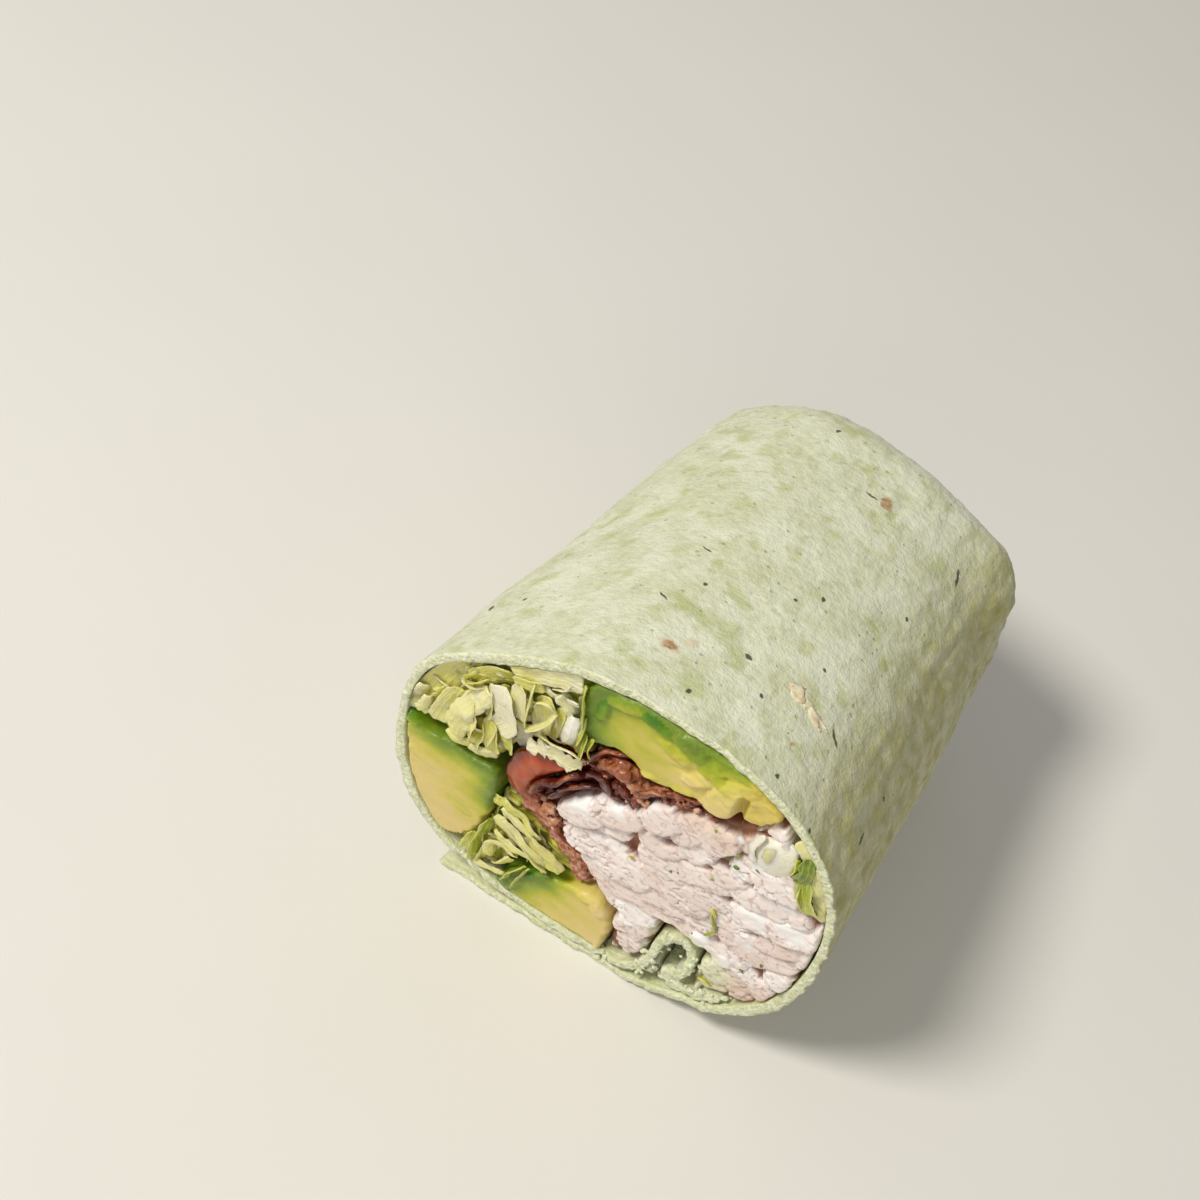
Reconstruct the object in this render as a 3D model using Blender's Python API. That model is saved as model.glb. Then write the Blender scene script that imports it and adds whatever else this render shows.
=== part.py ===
"""Half of a filled wrap, cut across the middle and lying on its side.

A thin soft tortilla is rolled round chopped chicken salad, a bent tomato slice,
bacon, three avocado wedges and shredded lettuce. The cut end faces -Y, the tucked
end faces +Y, and the roll rests on the loose tail of its own sheet.
Sizes are in millimetres, and place() turns them into metres.
"""

import math
import random

import bmesh
import bpy
from mathutils import Vector, noise
from mathutils.geometry import delaunay_2d_cdt

MM = 0.001

# The roll at the cut
HALF_WIDTH = 40.3
HALF_HEIGHT = 39.6
SQUARENESS = 2.37  # exponent of the rounded outline: 2 is an ellipse
FLATTENED = 0.6  # how far its own weight presses the underside flat
SLUMP = 4.2  # the slack lettuce lets the upper left corner of the outline sink
SLUMP_ANGLE = math.radians(220)
SLUMP_WIDTH = math.radians(21)
LENGTH = 95.0
TAPER = 0.17  # share of its width that the roll loses at the tucked end
CUT_YAW = math.radians(3.2)
CUT_LEAN = math.radians(3.3)  # the top of the cut leans out

# The rolled sheet
SHEET = 1.9
LAYER_GAP = 0.4
SHEET_ROUND_RADIUS = 152.0  # of the flat 12 inch round that it was
TAIL_REACH = 27.0
TAIL_TIP_THICKNESS = 1.5
TAIL_DRAWS_IN = 0.7  # share of the round rim's curve that the tail keeps
TUCK_STARTS = math.radians(312)
TUCK_ENDS = math.radians(336)
INNER_END = math.radians(8)  # past the bottom, where the sheet rises into its fold
FOLD_REACH = math.radians(30)  # up to here the right of the underside is two sheets thick

# The tucked end
END_YAW = math.radians(5)  # the tucked end slants back at the left
END_LEAN = math.radians(4)  # and at the bottom
FOLD_RADIUS = 12.0
BODY_LENGTH = LENGTH - FOLD_RADIUS - 1.0
PLUG_DEPTH = 6.0
EAR = 3.4  # the corner that the folded sheet makes on the right
EAR_ANGLE = math.radians(128)
EAR_WIDTH = math.radians(15)
DIMPLE = 3.2
SWIRL_TURNS = 0.9  # the folded-in side of the sheet, seen end on, winds in to the middle
SWIRL_LAP = 1.6

# The filling
FILL_GAP = 0.45
FILL_BACK = BODY_LENGTH - PLUG_DEPTH - 1.0

TORTILLA_GREEN = (0.50, 0.55, 0.33)
AVOCADO_YELLOW = (0.72, 0.66, 0.22)
LETTUCE_GREEN = (0.66, 0.68, 0.30)
TOMATO_RED = (0.48, 0.10, 0.035)
BACON_RED = (0.22, 0.035, 0.025)
CHICKEN_PINK = (0.80, 0.68, 0.62)


def clear_scene():
    for obj in list(bpy.data.objects):
        bpy.data.objects.remove(obj)


def material(name, colour, roughness):
    made = bpy.data.materials.new(name)
    made.use_nodes = True
    shader = made.node_tree.nodes["Principled BSDF"]
    shader.inputs["Base Color"].default_value = (*colour, 1)
    shader.inputs["Roughness"].default_value = roughness
    shader.inputs["Metallic"].default_value = 0
    return made


def smoothstep(value, low, high):
    share = min(max((value - low) / (high - low), 0), 1)
    return share * share * (3 - 2 * share)


def slump(angle):
    return SLUMP * math.exp(-(((angle % (2 * math.pi) - SLUMP_ANGLE) / SLUMP_WIDTH) ** 2))


def place(x, along, z):
    """A point of the straight roll in metres, with its taper and the slant of both ends.
    The slump is in the section that x and z give, and fades away along the roll."""
    share = along / LENGTH
    plumper = 1 + slump(math.atan2(x, HALF_HEIGHT - z)) / HALF_HEIGHT * share
    x *= plumper
    z = HALF_HEIGHT + (z - HALF_HEIGHT) * plumper
    size = 1 - TAPER * share
    cut = x * math.tan(CUT_YAW) - (z - HALF_HEIGHT) * math.tan(CUT_LEAN)
    tuck = x * math.tan(END_YAW) + (z - HALF_HEIGHT) * math.tan(END_LEAN)
    return Vector((size * x, along + cut * (1 - share) - tuck * share**2, size * z)) * MM


def outline_radius(angle):
    """Distance from the roll's centre to its outside. Angles run from the bottom to the right."""
    across = (abs(math.sin(angle)) / HALF_WIDTH) ** SQUARENESS
    upright = (abs(math.cos(angle)) / HALF_HEIGHT) ** SQUARENESS
    return (across + upright) ** (-1 / SQUARENESS) - slump(angle)


def outline_point(angle, inset=0.0):
    radius = outline_radius(angle) - inset
    z = HALF_HEIGHT - radius * math.cos(angle)
    return radius * math.sin(angle), max(z - FLATTENED, inset)


def tuck_shift(angle):
    """How far the sheet has moved in, where it passes over its own tail."""
    turn = angle % (2 * math.pi)
    full = SHEET + LAYER_GAP
    if turn < FOLD_REACH:
        return full
    return full * smoothstep(turn, TUCK_STARTS, TUCK_ENDS)


def keep_in_sheet(x, z):
    """The point, moved in to the inner wall of the sheet if it lies beyond it."""
    angle = math.atan2(x, HALF_HEIGHT - FLATTENED - z)
    radius = math.hypot(x, HALF_HEIGHT - FLATTENED - z)
    inset = SHEET + FILL_GAP + tuck_shift(angle)
    most = outline_radius(angle) - inset
    if radius > most:
        x *= most / radius
        z = HALF_HEIGHT - FLATTENED - (HALF_HEIGHT - FLATTENED - z) * most / radius
    return x, max(z, inset)


def curve_through(points, steps, closed):
    """Points on a smooth curve through the given ones."""
    count = len(points)
    made = []
    for i in range(count if closed else count - 1):
        if closed:
            a, b, c, d = (points[(i + k) % count] for k in (-1, 0, 1, 2))
        else:
            a, b, c, d = (points[min(max(i + k, 0), count - 1)] for k in (-1, 0, 1, 2))
        for step in range(steps):
            t = step / steps
            made.append(
                tuple(
                    0.5
                    * (
                        2 * b[n]
                        + (c[n] - a[n]) * t
                        + (2 * a[n] - 5 * b[n] + 4 * c[n] - d[n]) * t * t
                        + (3 * b[n] - a[n] - 3 * c[n] + d[n]) * t**3
                    )
                    for n in (0, 1)
                )
            )
    if not closed:
        made.append(tuple(points[-1]))
    return made


def spaced(points, count):
    """The same line with its points at even distances."""
    lengths = [0.0]
    for a, b in zip(points, points[1:]):
        lengths.append(lengths[-1] + math.dist(a, b))
    made = []
    i = 0
    for n in range(count):
        target = lengths[-1] * n / (count - 1)
        while i < len(points) - 2 and lengths[i + 1] < target:
            i += 1
        t = (target - lengths[i]) / (lengths[i + 1] - lengths[i])
        made.append(tuple(p + (q - p) * t for p, q in zip(points[i], points[i + 1])))
    return made


def mesh_object(name, bm, made_of):
    if bm.calc_volume(signed=True) < 0:
        bmesh.ops.reverse_faces(bm, faces=bm.faces)
    mesh = bpy.data.meshes.new(name)
    bm.to_mesh(mesh)
    bm.free()
    obj = bpy.data.objects.new(name, mesh)
    obj.data.materials.append(made_of)
    bpy.context.scene.collection.objects.link(obj)
    return obj


def loft(name, rings, made_of):
    """A closed solid through rings of points, with flat ends."""
    bm = bmesh.new()
    loops = [[bm.verts.new(p) for p in ring] for ring in rings]
    for first, second in zip(loops, loops[1:]):
        for i in range(len(first)):
            j = (i + 1) % len(first)
            bm.faces.new((first[i], first[j], second[j], second[i]))
    bm.faces.new(loops[0][::-1])
    bm.faces.new(loops[-1])
    return mesh_object(name, bm, made_of)


def fuse(body, others):
    """Joins the other objects to body by one Boolean union, and removes them."""
    group = bpy.data.collections.new(body.name + " parts")
    for obj in others:
        group.objects.link(obj)
    join = body.modifiers.new("Union", "BOOLEAN")
    join.operation = "UNION"
    join.operand_type = "COLLECTION"
    join.collection = group
    join.solver = "EXACT"
    bpy.context.view_layer.objects.active = body
    bpy.ops.object.modifier_apply(modifier=join.name)
    for obj in others:
        bpy.data.objects.remove(obj)
    bpy.data.collections.remove(group)
    return body


# The tortilla: one sheet rolled up, its tail under the roll and its first edge folded inside

TAIL_POINTS = 8
TURN_POINTS = 62
FOLD_POINTS = 34
BAND_STATIONS = 9
OPEN_SHARE = 0.86  # share of the turn that shows, before the sheet passes over its tail
SWELL = 0.9
RAGGED = 0.5  # unevenness of the knife's cut through the sheet
# The sheet's first edge rises in a narrow pleat, right of the lowest avocado, and runs on
FOLD_ROUTE = [
    (5.4, 3.3),
    (9.8, 3.9),
    (13.0, 6.6),
    (14.6, 10.8),
    (15.0, 15.6),
    (15.9, 20.4),
    (18.4, 22.6),
    (21.0, 20.6),
    (21.5, 16.4),
    (20.7, 13.2),
    (20.3, 10.8),
    (21.6, 9.0),
    (24.0, 9.4),
    (26.4, 11.0),
    (28.6, 12.9),
]


def tail_tip(along):
    """Where the tail ends. Its edge is the rim of a round sheet, so it draws in towards the end."""
    sagitta = SHEET_ROUND_RADIUS - math.sqrt(SHEET_ROUND_RADIUS**2 - along**2)
    return -TAIL_REACH + TAIL_DRAWS_IN * sagitta


def sheet_route(along):
    """The middle of the sheet, from the tip of its tail round to its first edge."""
    tip = tail_tip(along)
    tail = [(tip + (0 - tip) * i / TAIL_POINTS, SHEET / 2) for i in range(TAIL_POINTS)]
    turn = []
    for i in range(TURN_POINTS):
        angle = (2 * math.pi + INNER_END) * i / TURN_POINTS
        shift = tuck_shift(angle) if i > TURN_POINTS / 2 else 0
        turn.append(outline_point(angle, SHEET / 2 + shift))
    return tail + turn + spaced(curve_through(FOLD_ROUTE, 6, False), FOLD_POINTS)


def swell(angle, along):
    """Low uneven swells of the sheet over the filling, in millimetres."""
    spot = Vector((math.sin(angle) * 1.3, along / 26, math.cos(angle) * 1.3))
    return SWELL * noise.noise(spot + Vector((3.1, 0, 7.7)))


def band_ring(along):
    """The outline of the sheet's own thickness at one station."""
    route = sheet_route(along)
    outer, inner = [], []
    for i, (x, z) in enumerate(route):
        before, after = route[max(i - 1, 0)], route[min(i + 1, len(route) - 1)]
        run = math.dist(before, after)
        side = ((after[1] - before[1]) / run, -(after[0] - before[0]) / run)
        tail_share = min(i / TAIL_POINTS, 1)
        half = (TAIL_TIP_THICKNESS + (SHEET - TAIL_TIP_THICKNESS) * tail_share) / 2
        centre = z - (SHEET / 2 - half) * (1 - tail_share)
        angle = math.atan2(x, HALF_HEIGHT - z)
        on_outside = TAIL_POINTS < i < TAIL_POINTS + TURN_POINTS * OPEN_SHARE
        lift = swell(angle, along) * smoothstep(z, 4, 20) if on_outside else 0
        out = half + lift
        ragged = 0.0
        if along == 0:
            ragged = RAGGED * noise.noise(Vector((x / 5, z / 5, 1.7)))
        outer.append(place(x + side[0] * out, along + ragged, max(centre + side[1] * out, 0)))
        inner.append(place(x - side[0] * half, along + ragged, centre - side[1] * half))
    return outer + inner[::-1]


PLUG_PROUD = 0.12  # so that the plug's wall never lies in the sheet's own
EDGE_STEPS = 5
EDGE_TURN = math.radians(84)
END_POINTS = 56


def ear(angle):
    turn = (angle - EAR_ANGLE + math.pi) % (2 * math.pi) - math.pi
    return math.exp(-((turn / EAR_WIDTH) ** 2))


def tucked_end(made_of):
    """The sides of the sheet, folded in: a blunt plug with a rounded edge and a creased face."""
    stations = [(-PLUG_DEPTH, SHEET / 2), (-0.9, SHEET / 2), (-0.3, -PLUG_PROUD)]
    for step in range(1, EDGE_STEPS + 1):
        turn = EDGE_TURN * step / EDGE_STEPS
        stations.append((FOLD_RADIUS * math.sin(turn), FOLD_RADIUS * (1 - math.cos(turn))))
    rings = []
    count = END_POINTS
    for n, (beyond, inset) in enumerate(stations):
        ring = []
        for i in range(count):
            angle = 2 * math.pi * i / count
            share = max(n - 2, 0) / EDGE_STEPS
            stretch = EAR * ear(angle) * math.sin(math.pi * min(share + 0.25, 1)) if n > 2 else 0
            x, z = outline_point(angle, inset - stretch)
            along = BODY_LENGTH + beyond + 0.5 * stretch
            outwards = swell(angle, BODY_LENGTH) * smoothstep(z, 4, 20) if n > 1 else 0
            x += outwards * math.sin(angle)
            z -= outwards * math.cos(angle)
            ring.append(place(x, along, max(z, 0.15 + 0.4 * inset)))
        rings.append(ring)
    centre = Vector((0, 0, HALF_HEIGHT * (1 - TAPER) * MM))
    face = rings[-1]
    for size, depth in ((0.8, 0.0), (0.6, 0.8), (0.4, 1.8), (0.2, DIMPLE)):
        ring = []
        for i, corner in enumerate(face):
            turns = i / count + SWIRL_TURNS * size
            lap = SWIRL_LAP * (turns % 1) * min(3 * size, 3 - 3 * size, 1)
            flat = Vector((centre.x, corner.y, centre.z))
            point = flat.lerp(corner, size)
            point.y += (0.6 - depth + lap) * MM
            ring.append(point)
        rings.append(ring)
    return loft("tucked end", rings, made_of)


def tortilla():
    made_of = material("tortilla", TORTILLA_GREEN, 0.75)
    steps = [BODY_LENGTH * (i / (BAND_STATIONS - 1)) for i in range(BAND_STATIONS)]
    band = loft("tortilla", [band_ring(along) for along in steps], made_of)
    return fuse(band, [tucked_end(made_of)])


# The filling: each piece runs from the cut to the tucked end, and shows its own relief at the cut


def within(point, loop):
    """True if the point is inside the closed loop."""
    x, z = point
    hit = False
    for (ax, az), (bx, bz) in zip(loop, loop[1:] + loop[:1]):
        if (az > z) != (bz > z) and x < (bx - ax) * (z - az) / (bz - az) + ax:
            hit = not hit
    return hit


def edge_distance(point, loop):
    """Distance from the point to the nearest side of the loop."""
    best = 1e9
    for a, b in zip(loop, loop[1:] + loop[:1]):
        side = (b[0] - a[0], b[1] - a[1])
        run = side[0] ** 2 + side[1] ** 2 or 1e-9
        t = ((point[0] - a[0]) * side[0] + (point[1] - a[1]) * side[1]) / run
        t = min(max(t, 0), 1)
        best = min(best, math.dist(point, (a[0] + side[0] * t, a[1] + side[1] * t)))
    return best


def piece_outline(points, steps):
    return [keep_in_sheet(*p) for p in curve_through(points, steps, True)]


def filling(name, loop, made_of, relief, spacing, recess=0.0):
    """A solid with this outline from the cut to the tucked end. relief(x, z) is how far it
    stands out of the cut, over a net of points this far apart."""
    if sum(ax * bz - bx * az for (ax, az), (bx, bz) in zip(loop, loop[1:] + loop[:1])) < 0:
        loop = loop[::-1]
    net = []
    row = 0
    xs, zs = [p[0] for p in loop], [p[1] for p in loop]
    z = min(zs)
    while z < max(zs):
        x = min(xs) + (row % 2) * spacing / 2
        while x < max(xs):
            if within((x, z), loop) and edge_distance((x, z), loop) > 0.55 * spacing:
                net.append((x, z))
            x += spacing
        z += spacing * 0.87
        row += 1
    flat = [Vector(p) for p in loop + net]
    sides = [(i, (i + 1) % len(loop)) for i in range(len(loop))]
    points, _, faces, _, _, _ = delaunay_2d_cdt(flat, sides, [], 1, 1e-6)
    bm = bmesh.new()
    front = [bm.verts.new(place(p.x, recess - relief(p.x, p.y), p.y)) for p in points]
    for face in faces:
        bm.faces.new([front[i] for i in face])
    back = [bm.verts.new(place(x, FILL_BACK, z)) for x, z in loop]
    for i, j in sides:
        bm.faces.new((front[j], front[i], back[i], back[j]))
    bm.faces.new(back[::-1])
    return mesh_object(name, bm, made_of)


CHICKEN_OUTLINE = [
    (-9.6, 37.6),
    (-6.6, 43.4),
    (-2.0, 47.0),
    (3.4, 49.6),
    (6.6, 54.6),
    (12.0, 57.4),
    (17.6, 59.2),
    (22.4, 62.6),
    (24.6, 66.6),
    (27.2, 63.2),
    (29.8, 58.6),
    (31.8, 53.2),
    (34.2, 48.8),
    (40.0, 46.0),
    (41.0, 40.0),
    (40.0, 28.0),
    (37.0, 20.6),
    (33.4, 17.4),
    (30.0, 15.6),
    (26.6, 14.8),
    (24.4, 16.0),
    (24.0, 20.4),
    (22.2, 23.8),
    (18.6, 25.2),
    (14.2, 23.6),
    (12.4, 17.6),
    (11.0, 9.4),
    (8.2, 8.6),
    (7.6, 15.6),
    (4.6, 20.6),
    (1.8, 24.8),
    (-2.6, 29.0),
    (-7.4, 33.0),
]


def crags(x, z):
    """Torn flakes of meat: flat tops at uneven heights with clefts between them."""
    warp = noise.noise(Vector((x / 9, z / 9, 4.4)))
    spot = Vector((x / 6.5 + 0.5 * warp, z / 4.2 - x / 16, 0.3))
    distances, nearest = noise.voronoi(spot)
    step = noise.noise(nearest[0] * 3.7)
    cleft = 1 - smoothstep(distances[1] - distances[0], 0.0, 0.28)
    return 1.6 * step - 1.0 * cleft + 0.5 * noise.noise(Vector((x / 2.2, z / 2.2, 8.1)))


def chicken_salad():
    made_of = material("chicken_salad", CHICKEN_PINK, 0.45)
    return filling("chicken_salad", piece_outline(CHICKEN_OUTLINE, 3), made_of, crags, 2.1)


AVOCADO_OUTLINES = {
    "avocado_top": [
        (-8.8, 61.6),
        (-9.9, 67.0),
        (-9.0, 74.6),
        (-2.0, 79.0),
        (9.0, 78.0),
        (18.0, 73.6),
        (23.6, 69.4),
        (21.4, 65.2),
        (15.6, 63.4),
        (10.0, 62.2),
        (3.4, 60.8),
        (-2.8, 61.8),
    ],
    "avocado_left": [
        (-41.0, 40.0),
        (-34.0, 37.6),
        (-27.0, 37.2),
        (-20.8, 37.4),
        (-19.9, 32.0),
        (-20.4, 24.0),
        (-22.2, 16.6),
        (-25.0, 12.4),
        (-29.0, 11.0),
        (-36.0, 13.0),
        (-41.0, 24.0),
    ],
    "avocado_low": [
        (-15.8, 6.8),
        (-13.8, 11.6),
        (-9.4, 15.4),
        (-3.6, 17.2),
        (1.6, 18.4),
        (4.9, 16.0),
        (6.1, 11.0),
        (5.7, 5.6),
        (0.0, 3.0),
        (-8.0, 3.0),
        (-14.6, 4.2),
    ],
}


def smeared(x, z):
    """The knife drags a soft face into low smears."""
    return 0.45 * noise.noise(Vector((x / 7, z / 3, 5.2))) + 0.3


def avocados():
    made_of = material("avocado", AVOCADO_YELLOW, 0.4)
    for name, points in AVOCADO_OUTLINES.items():
        filling(name, piece_outline(points, 3), made_of, smeared, 3.2)


TOMATO_OUTLINE = [
    (-7.4, 51.9),
    (-12.6, 50.4),
    (-17.0, 47.0),
    (-19.3, 41.4),
    (-18.2, 35.4),
    (-15.0, 31.2),
    (-10.2, 27.8),
    (-5.8, 24.2),
    (-2.6, 19.8),
    (-0.4, 21.0),
    (-3.2, 25.6),
    (-7.6, 29.4),
    (-12.0, 32.8),
    (-14.2, 37.0),
    (-13.8, 41.4),
    (-11.0, 45.4),
    (-7.8, 48.6),
]


def tomato():
    made_of = material("tomato", TOMATO_RED, 0.3)

    def bulge(x, z):
        return 0.4 + 0.4 * noise.noise(Vector((x / 4, z / 4, 2.9)))

    return filling("tomato", piece_outline(TOMATO_OUTLINE, 3), made_of, bulge, 1.9)


BACON_OUTLINES = {
    "bacon_upper": [
        (-13.0, 42.4),
        (-10.4, 45.0),
        (-7.0, 48.2),
        (-6.2, 52.6),
        (-5.8, 58.6),
        (-1.6, 60.6),
        (3.4, 59.4),
        (9.6, 60.9),
        (16.6, 62.2),
        (16.0, 60.2),
        (10.8, 58.6),
        (5.6, 56.2),
        (2.4, 51.0),
        (-2.4, 48.2),
        (-7.2, 44.6),
        (-10.4, 40.0),
        (-13.2, 39.6),
    ],
    "bacon_lower": [
        (-12.9, 36.6),
        (-10.6, 37.6),
        (-8.4, 33.2),
        (-3.4, 29.0),
        (0.9, 24.8),
        (1.2, 22.6),
        (-2.4, 26.0),
        (-6.8, 30.0),
        (-11.4, 33.6),
    ],
}


def crisp(x, z):
    """Bacon dries in ridges of lean and fat."""
    return 0.9 * noise.noise(Vector((x / 2.6, z / 2.6, 6.6))) - 0.5


def bacon():
    made_of = material("bacon", BACON_RED, 0.35)
    for name, points in BACON_OUTLINES.items():
        filling(name, piece_outline(points, 2), made_of, crisp, 1.7)


# Lettuce: a core set back from the cut, with cut shreds standing on it edge-on

SHRED_SEED = 41
CORE_RECESS = 2.6
SHRED_DEPTH = 7.0  # from the cut back into the core
SHRED_MARGIN = 0.9
LETTUCE = {
    "lettuce_top": (
        [
            (-40.0, 43.0),
            (-41.0, 50.0),
            (-37.0, 62.0),
            (-28.0, 72.0),
            (-18.0, 76.0),
            (-11.4, 75.0),
            (-11.0, 67.0),
            (-9.8, 60.6),
            (-7.6, 57.4),
            (-8.2, 53.4),
            (-13.4, 52.0),
            (-18.6, 48.4),
            (-21.0, 42.8),
            (-22.4, 39.2),
            (-28.0, 38.6),
            (-34.0, 39.2),
        ],
        26,
    ),
    "lettuce_right": (
        [
            (26.0, 66.4),
            (31.0, 67.4),
            (38.0, 58.0),
            (40.0, 49.8),
            (35.4, 50.2),
            (33.2, 54.4),
            (31.0, 59.8),
            (28.4, 64.0),
        ],
        0,
    ),
    "lettuce_low": (
        [
            (-18.4, 33.2),
            (-15.8, 29.8),
            (-11.0, 26.2),
            (-6.6, 22.8),
            (-3.8, 18.8),
            (-9.8, 17.0),
            (-14.8, 12.8),
            (-17.2, 7.4),
            (-22.4, 7.0),
            (-24.0, 11.2),
            (-20.8, 17.0),
            (-19.0, 25.0),
        ],
        11,
    ),
}


def shred_route(start, heading, bend, length):
    """Six points along a wavy shred, seen at the cut."""
    x, z = start
    route = [start]
    parts = 5
    for i in range(parts):
        heading += bend + 0.35 * math.sin(2.1 * i + 5 * bend)
        x += math.cos(heading) * length / parts
        z += math.sin(heading) * length / parts
        route.append((x, z))
    return route


def shred(number, route, thickness, front, made_of):
    """A ribbon of leaf, thick at its middle and thin at both ends."""
    upper, lower = [], []
    for i, (x, z) in enumerate(route):
        before, after = route[max(i - 1, 0)], route[min(i + 1, len(route) - 1)]
        run = math.dist(before, after)
        side = (-(after[1] - before[1]) / run, (after[0] - before[0]) / run)
        half = thickness / 2 * (0.45 + 0.55 * math.sin(math.pi * (i + 0.6) / (len(route) + 0.2)))
        upper.append((x + side[0] * half, z + side[1] * half))
        lower.append((x - side[0] * half, z - side[1] * half))
    loop = upper + lower[::-1]
    rings = [[place(x, along, z) for x, z in loop] for along in (front, SHRED_DEPTH)]
    return loft(f"shred {number}", rings, made_of)


def lettuce():
    made_of = material("lettuce", LETTUCE_GREEN, 0.4)
    draw = random.Random(SHRED_SEED)
    for name, (points, wanted) in LETTUCE.items():
        loop = piece_outline(points, 2)
        recess = CORE_RECESS if wanted else 0.0
        core = filling(name, loop, made_of, smeared, 4.0, recess)
        shreds = []
        tries = 0
        while len(shreds) < wanted and tries < 4000:
            tries += 1
            start = (
                draw.uniform(min(p[0] for p in loop), max(p[0] for p in loop)),
                draw.uniform(min(p[1] for p in loop), max(p[1] for p in loop)),
            )
            heading = draw.uniform(-0.3, 1.2)
            route = shred_route(start, heading, draw.uniform(-0.35, 0.35), draw.uniform(7, 15))
            thickness = draw.choice((1.1, 1.3, 1.8, 3.2))
            front = draw.uniform(-0.6, 1.2)
            margin = SHRED_MARGIN + thickness / 2
            if all(within(p, loop) and edge_distance(p, loop) > margin for p in route):
                shreds.append(shred(len(shreds), route, thickness, front, made_of))
        if shreds:
            fuse(core, shreds)


def rest_on_origin():
    """Moves every mesh so that the middle of the whole part's base is the origin."""
    parts = [obj for obj in bpy.data.objects if obj.type == "MESH"]
    points = [v.co for obj in parts for v in obj.data.vertices]
    low = Vector([min(p[n] for p in points) for n in range(3)])
    high = Vector([max(p[n] for p in points) for n in range(3)])
    base = Vector(((low.x + high.x) / 2, (low.y + high.y) / 2, low.z))
    for obj in parts:
        for v in obj.data.vertices:
            v.co -= base


clear_scene()
tortilla()
chicken_salad()
avocados()
tomato()
bacon()
lettuce()
rest_on_origin()
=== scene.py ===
"""The cut half of a filled green wrap, lying on its side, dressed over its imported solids.

Sizes are in millimetres in the straight roll: x to the right, along from the cut to the
tucked end, z up. place() turns them into metres in the frame.
"""
import math
import random

import bmesh
import bpy
import numpy as np
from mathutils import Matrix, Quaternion, Vector, noise
from mathutils.geometry import delaunay_2d_cdt


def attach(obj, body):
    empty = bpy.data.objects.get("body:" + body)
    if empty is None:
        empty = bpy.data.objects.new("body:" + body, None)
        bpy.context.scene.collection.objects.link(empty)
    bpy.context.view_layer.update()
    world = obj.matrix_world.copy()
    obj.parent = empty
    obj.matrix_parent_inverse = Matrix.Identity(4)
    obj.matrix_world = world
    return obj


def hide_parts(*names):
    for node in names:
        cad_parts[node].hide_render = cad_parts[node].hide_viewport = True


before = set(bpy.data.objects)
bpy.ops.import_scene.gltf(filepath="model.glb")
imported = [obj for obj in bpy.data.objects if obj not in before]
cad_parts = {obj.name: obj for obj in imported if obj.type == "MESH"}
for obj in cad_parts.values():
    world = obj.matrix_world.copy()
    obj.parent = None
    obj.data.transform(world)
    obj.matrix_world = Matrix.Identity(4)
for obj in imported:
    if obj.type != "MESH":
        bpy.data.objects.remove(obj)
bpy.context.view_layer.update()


# The sheet. A soft green flour tortilla 1.9 mm thick, rolled once round the filling and over
# its own tail. Its first edge stands in a pleat inside, and its side is folded in to shut the
# far end. Dry and floury, with herb flecks, darker cooked patches and a few toasted spots.

MM = 0.001
CUT_FOOT = (-0.09, -47.74)  # the middle of the cut's foot, from the frame's origin
HALF_WIDTH = 40.3
HALF_HEIGHT = 39.6
SQUARENESS = 2.37  # 2 is an ellipse, and more is squarer
FLATTENED = 0.6  # how far its weight presses the foot flat
SLUMP = 4.2  # how far the lower left has sunk in at the cut
SLUMP_ANGLE = math.radians(220)
SLUMP_WIDTH = math.radians(21)
LENGTH = 95.0
TAPER = 0.17  # how much smaller it is at the tucked end
# How far the cut and the tucked end are from square to the roll
CUT_YAW = math.tan(math.radians(3.2))
CUT_LEAN = math.tan(math.radians(3.3))
END_YAW = math.tan(math.radians(5))
END_LEAN = math.tan(math.radians(4))
SHEET = 1.9  # its thickness
LAYER_GAP = 0.4
ROUND_RADIUS = 152.0  # of the round sheet before it is rolled
TAIL_REACH = 27.0  # how far the tail runs to the left under the roll
TAIL_TIP = 1.5  # the thickness at the tail's edge
TAIL_DRAWS_IN = 0.7
# Round the roll: where the sheet climbs onto its own tail
TUCK_STARTS = math.radians(312)
TUCK_ENDS = math.radians(336)
FOLD_REACH = math.radians(30)
FOLD_RADIUS = 12.0
BODY_LENGTH = LENGTH - FOLD_RADIUS - 1.0
EAR = 3.4  # how far the folded side's corner stands out
EAR_ANGLE = math.radians(128)
EAR_WIDTH = math.radians(15)
EAR_LEANS = 0.5  # how far along its tip leans, for its height
SWIRL_TURNS = 0.9
SWIRL_LAP = 1.6  # how high one turn of the end's swirl lies over the next
SWELL = 0.9  # how high the sheet's low swells rise over the filling
WRINKLE_RADIUS = 38.0
RAGGED = 0.5
RIM_BULGE = 0.16
RIM_CRUMB = 0.3
CRUSHED = 0.45  # how far the crushed first edge moves about
EDGE_ROUNDING = 1.1  # how far from an edge the sheet gets thinner
COVERED = math.radians(318)  # from here round, the sheet lies over its own tail
FOLD_TURN = math.radians(84)  # of the folded side, round its bend
END_DEPTHS = (3.4, 3.2, 1.8, 0.8, 0.0, 0.5)  # of the tucked end, from its middle out
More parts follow.
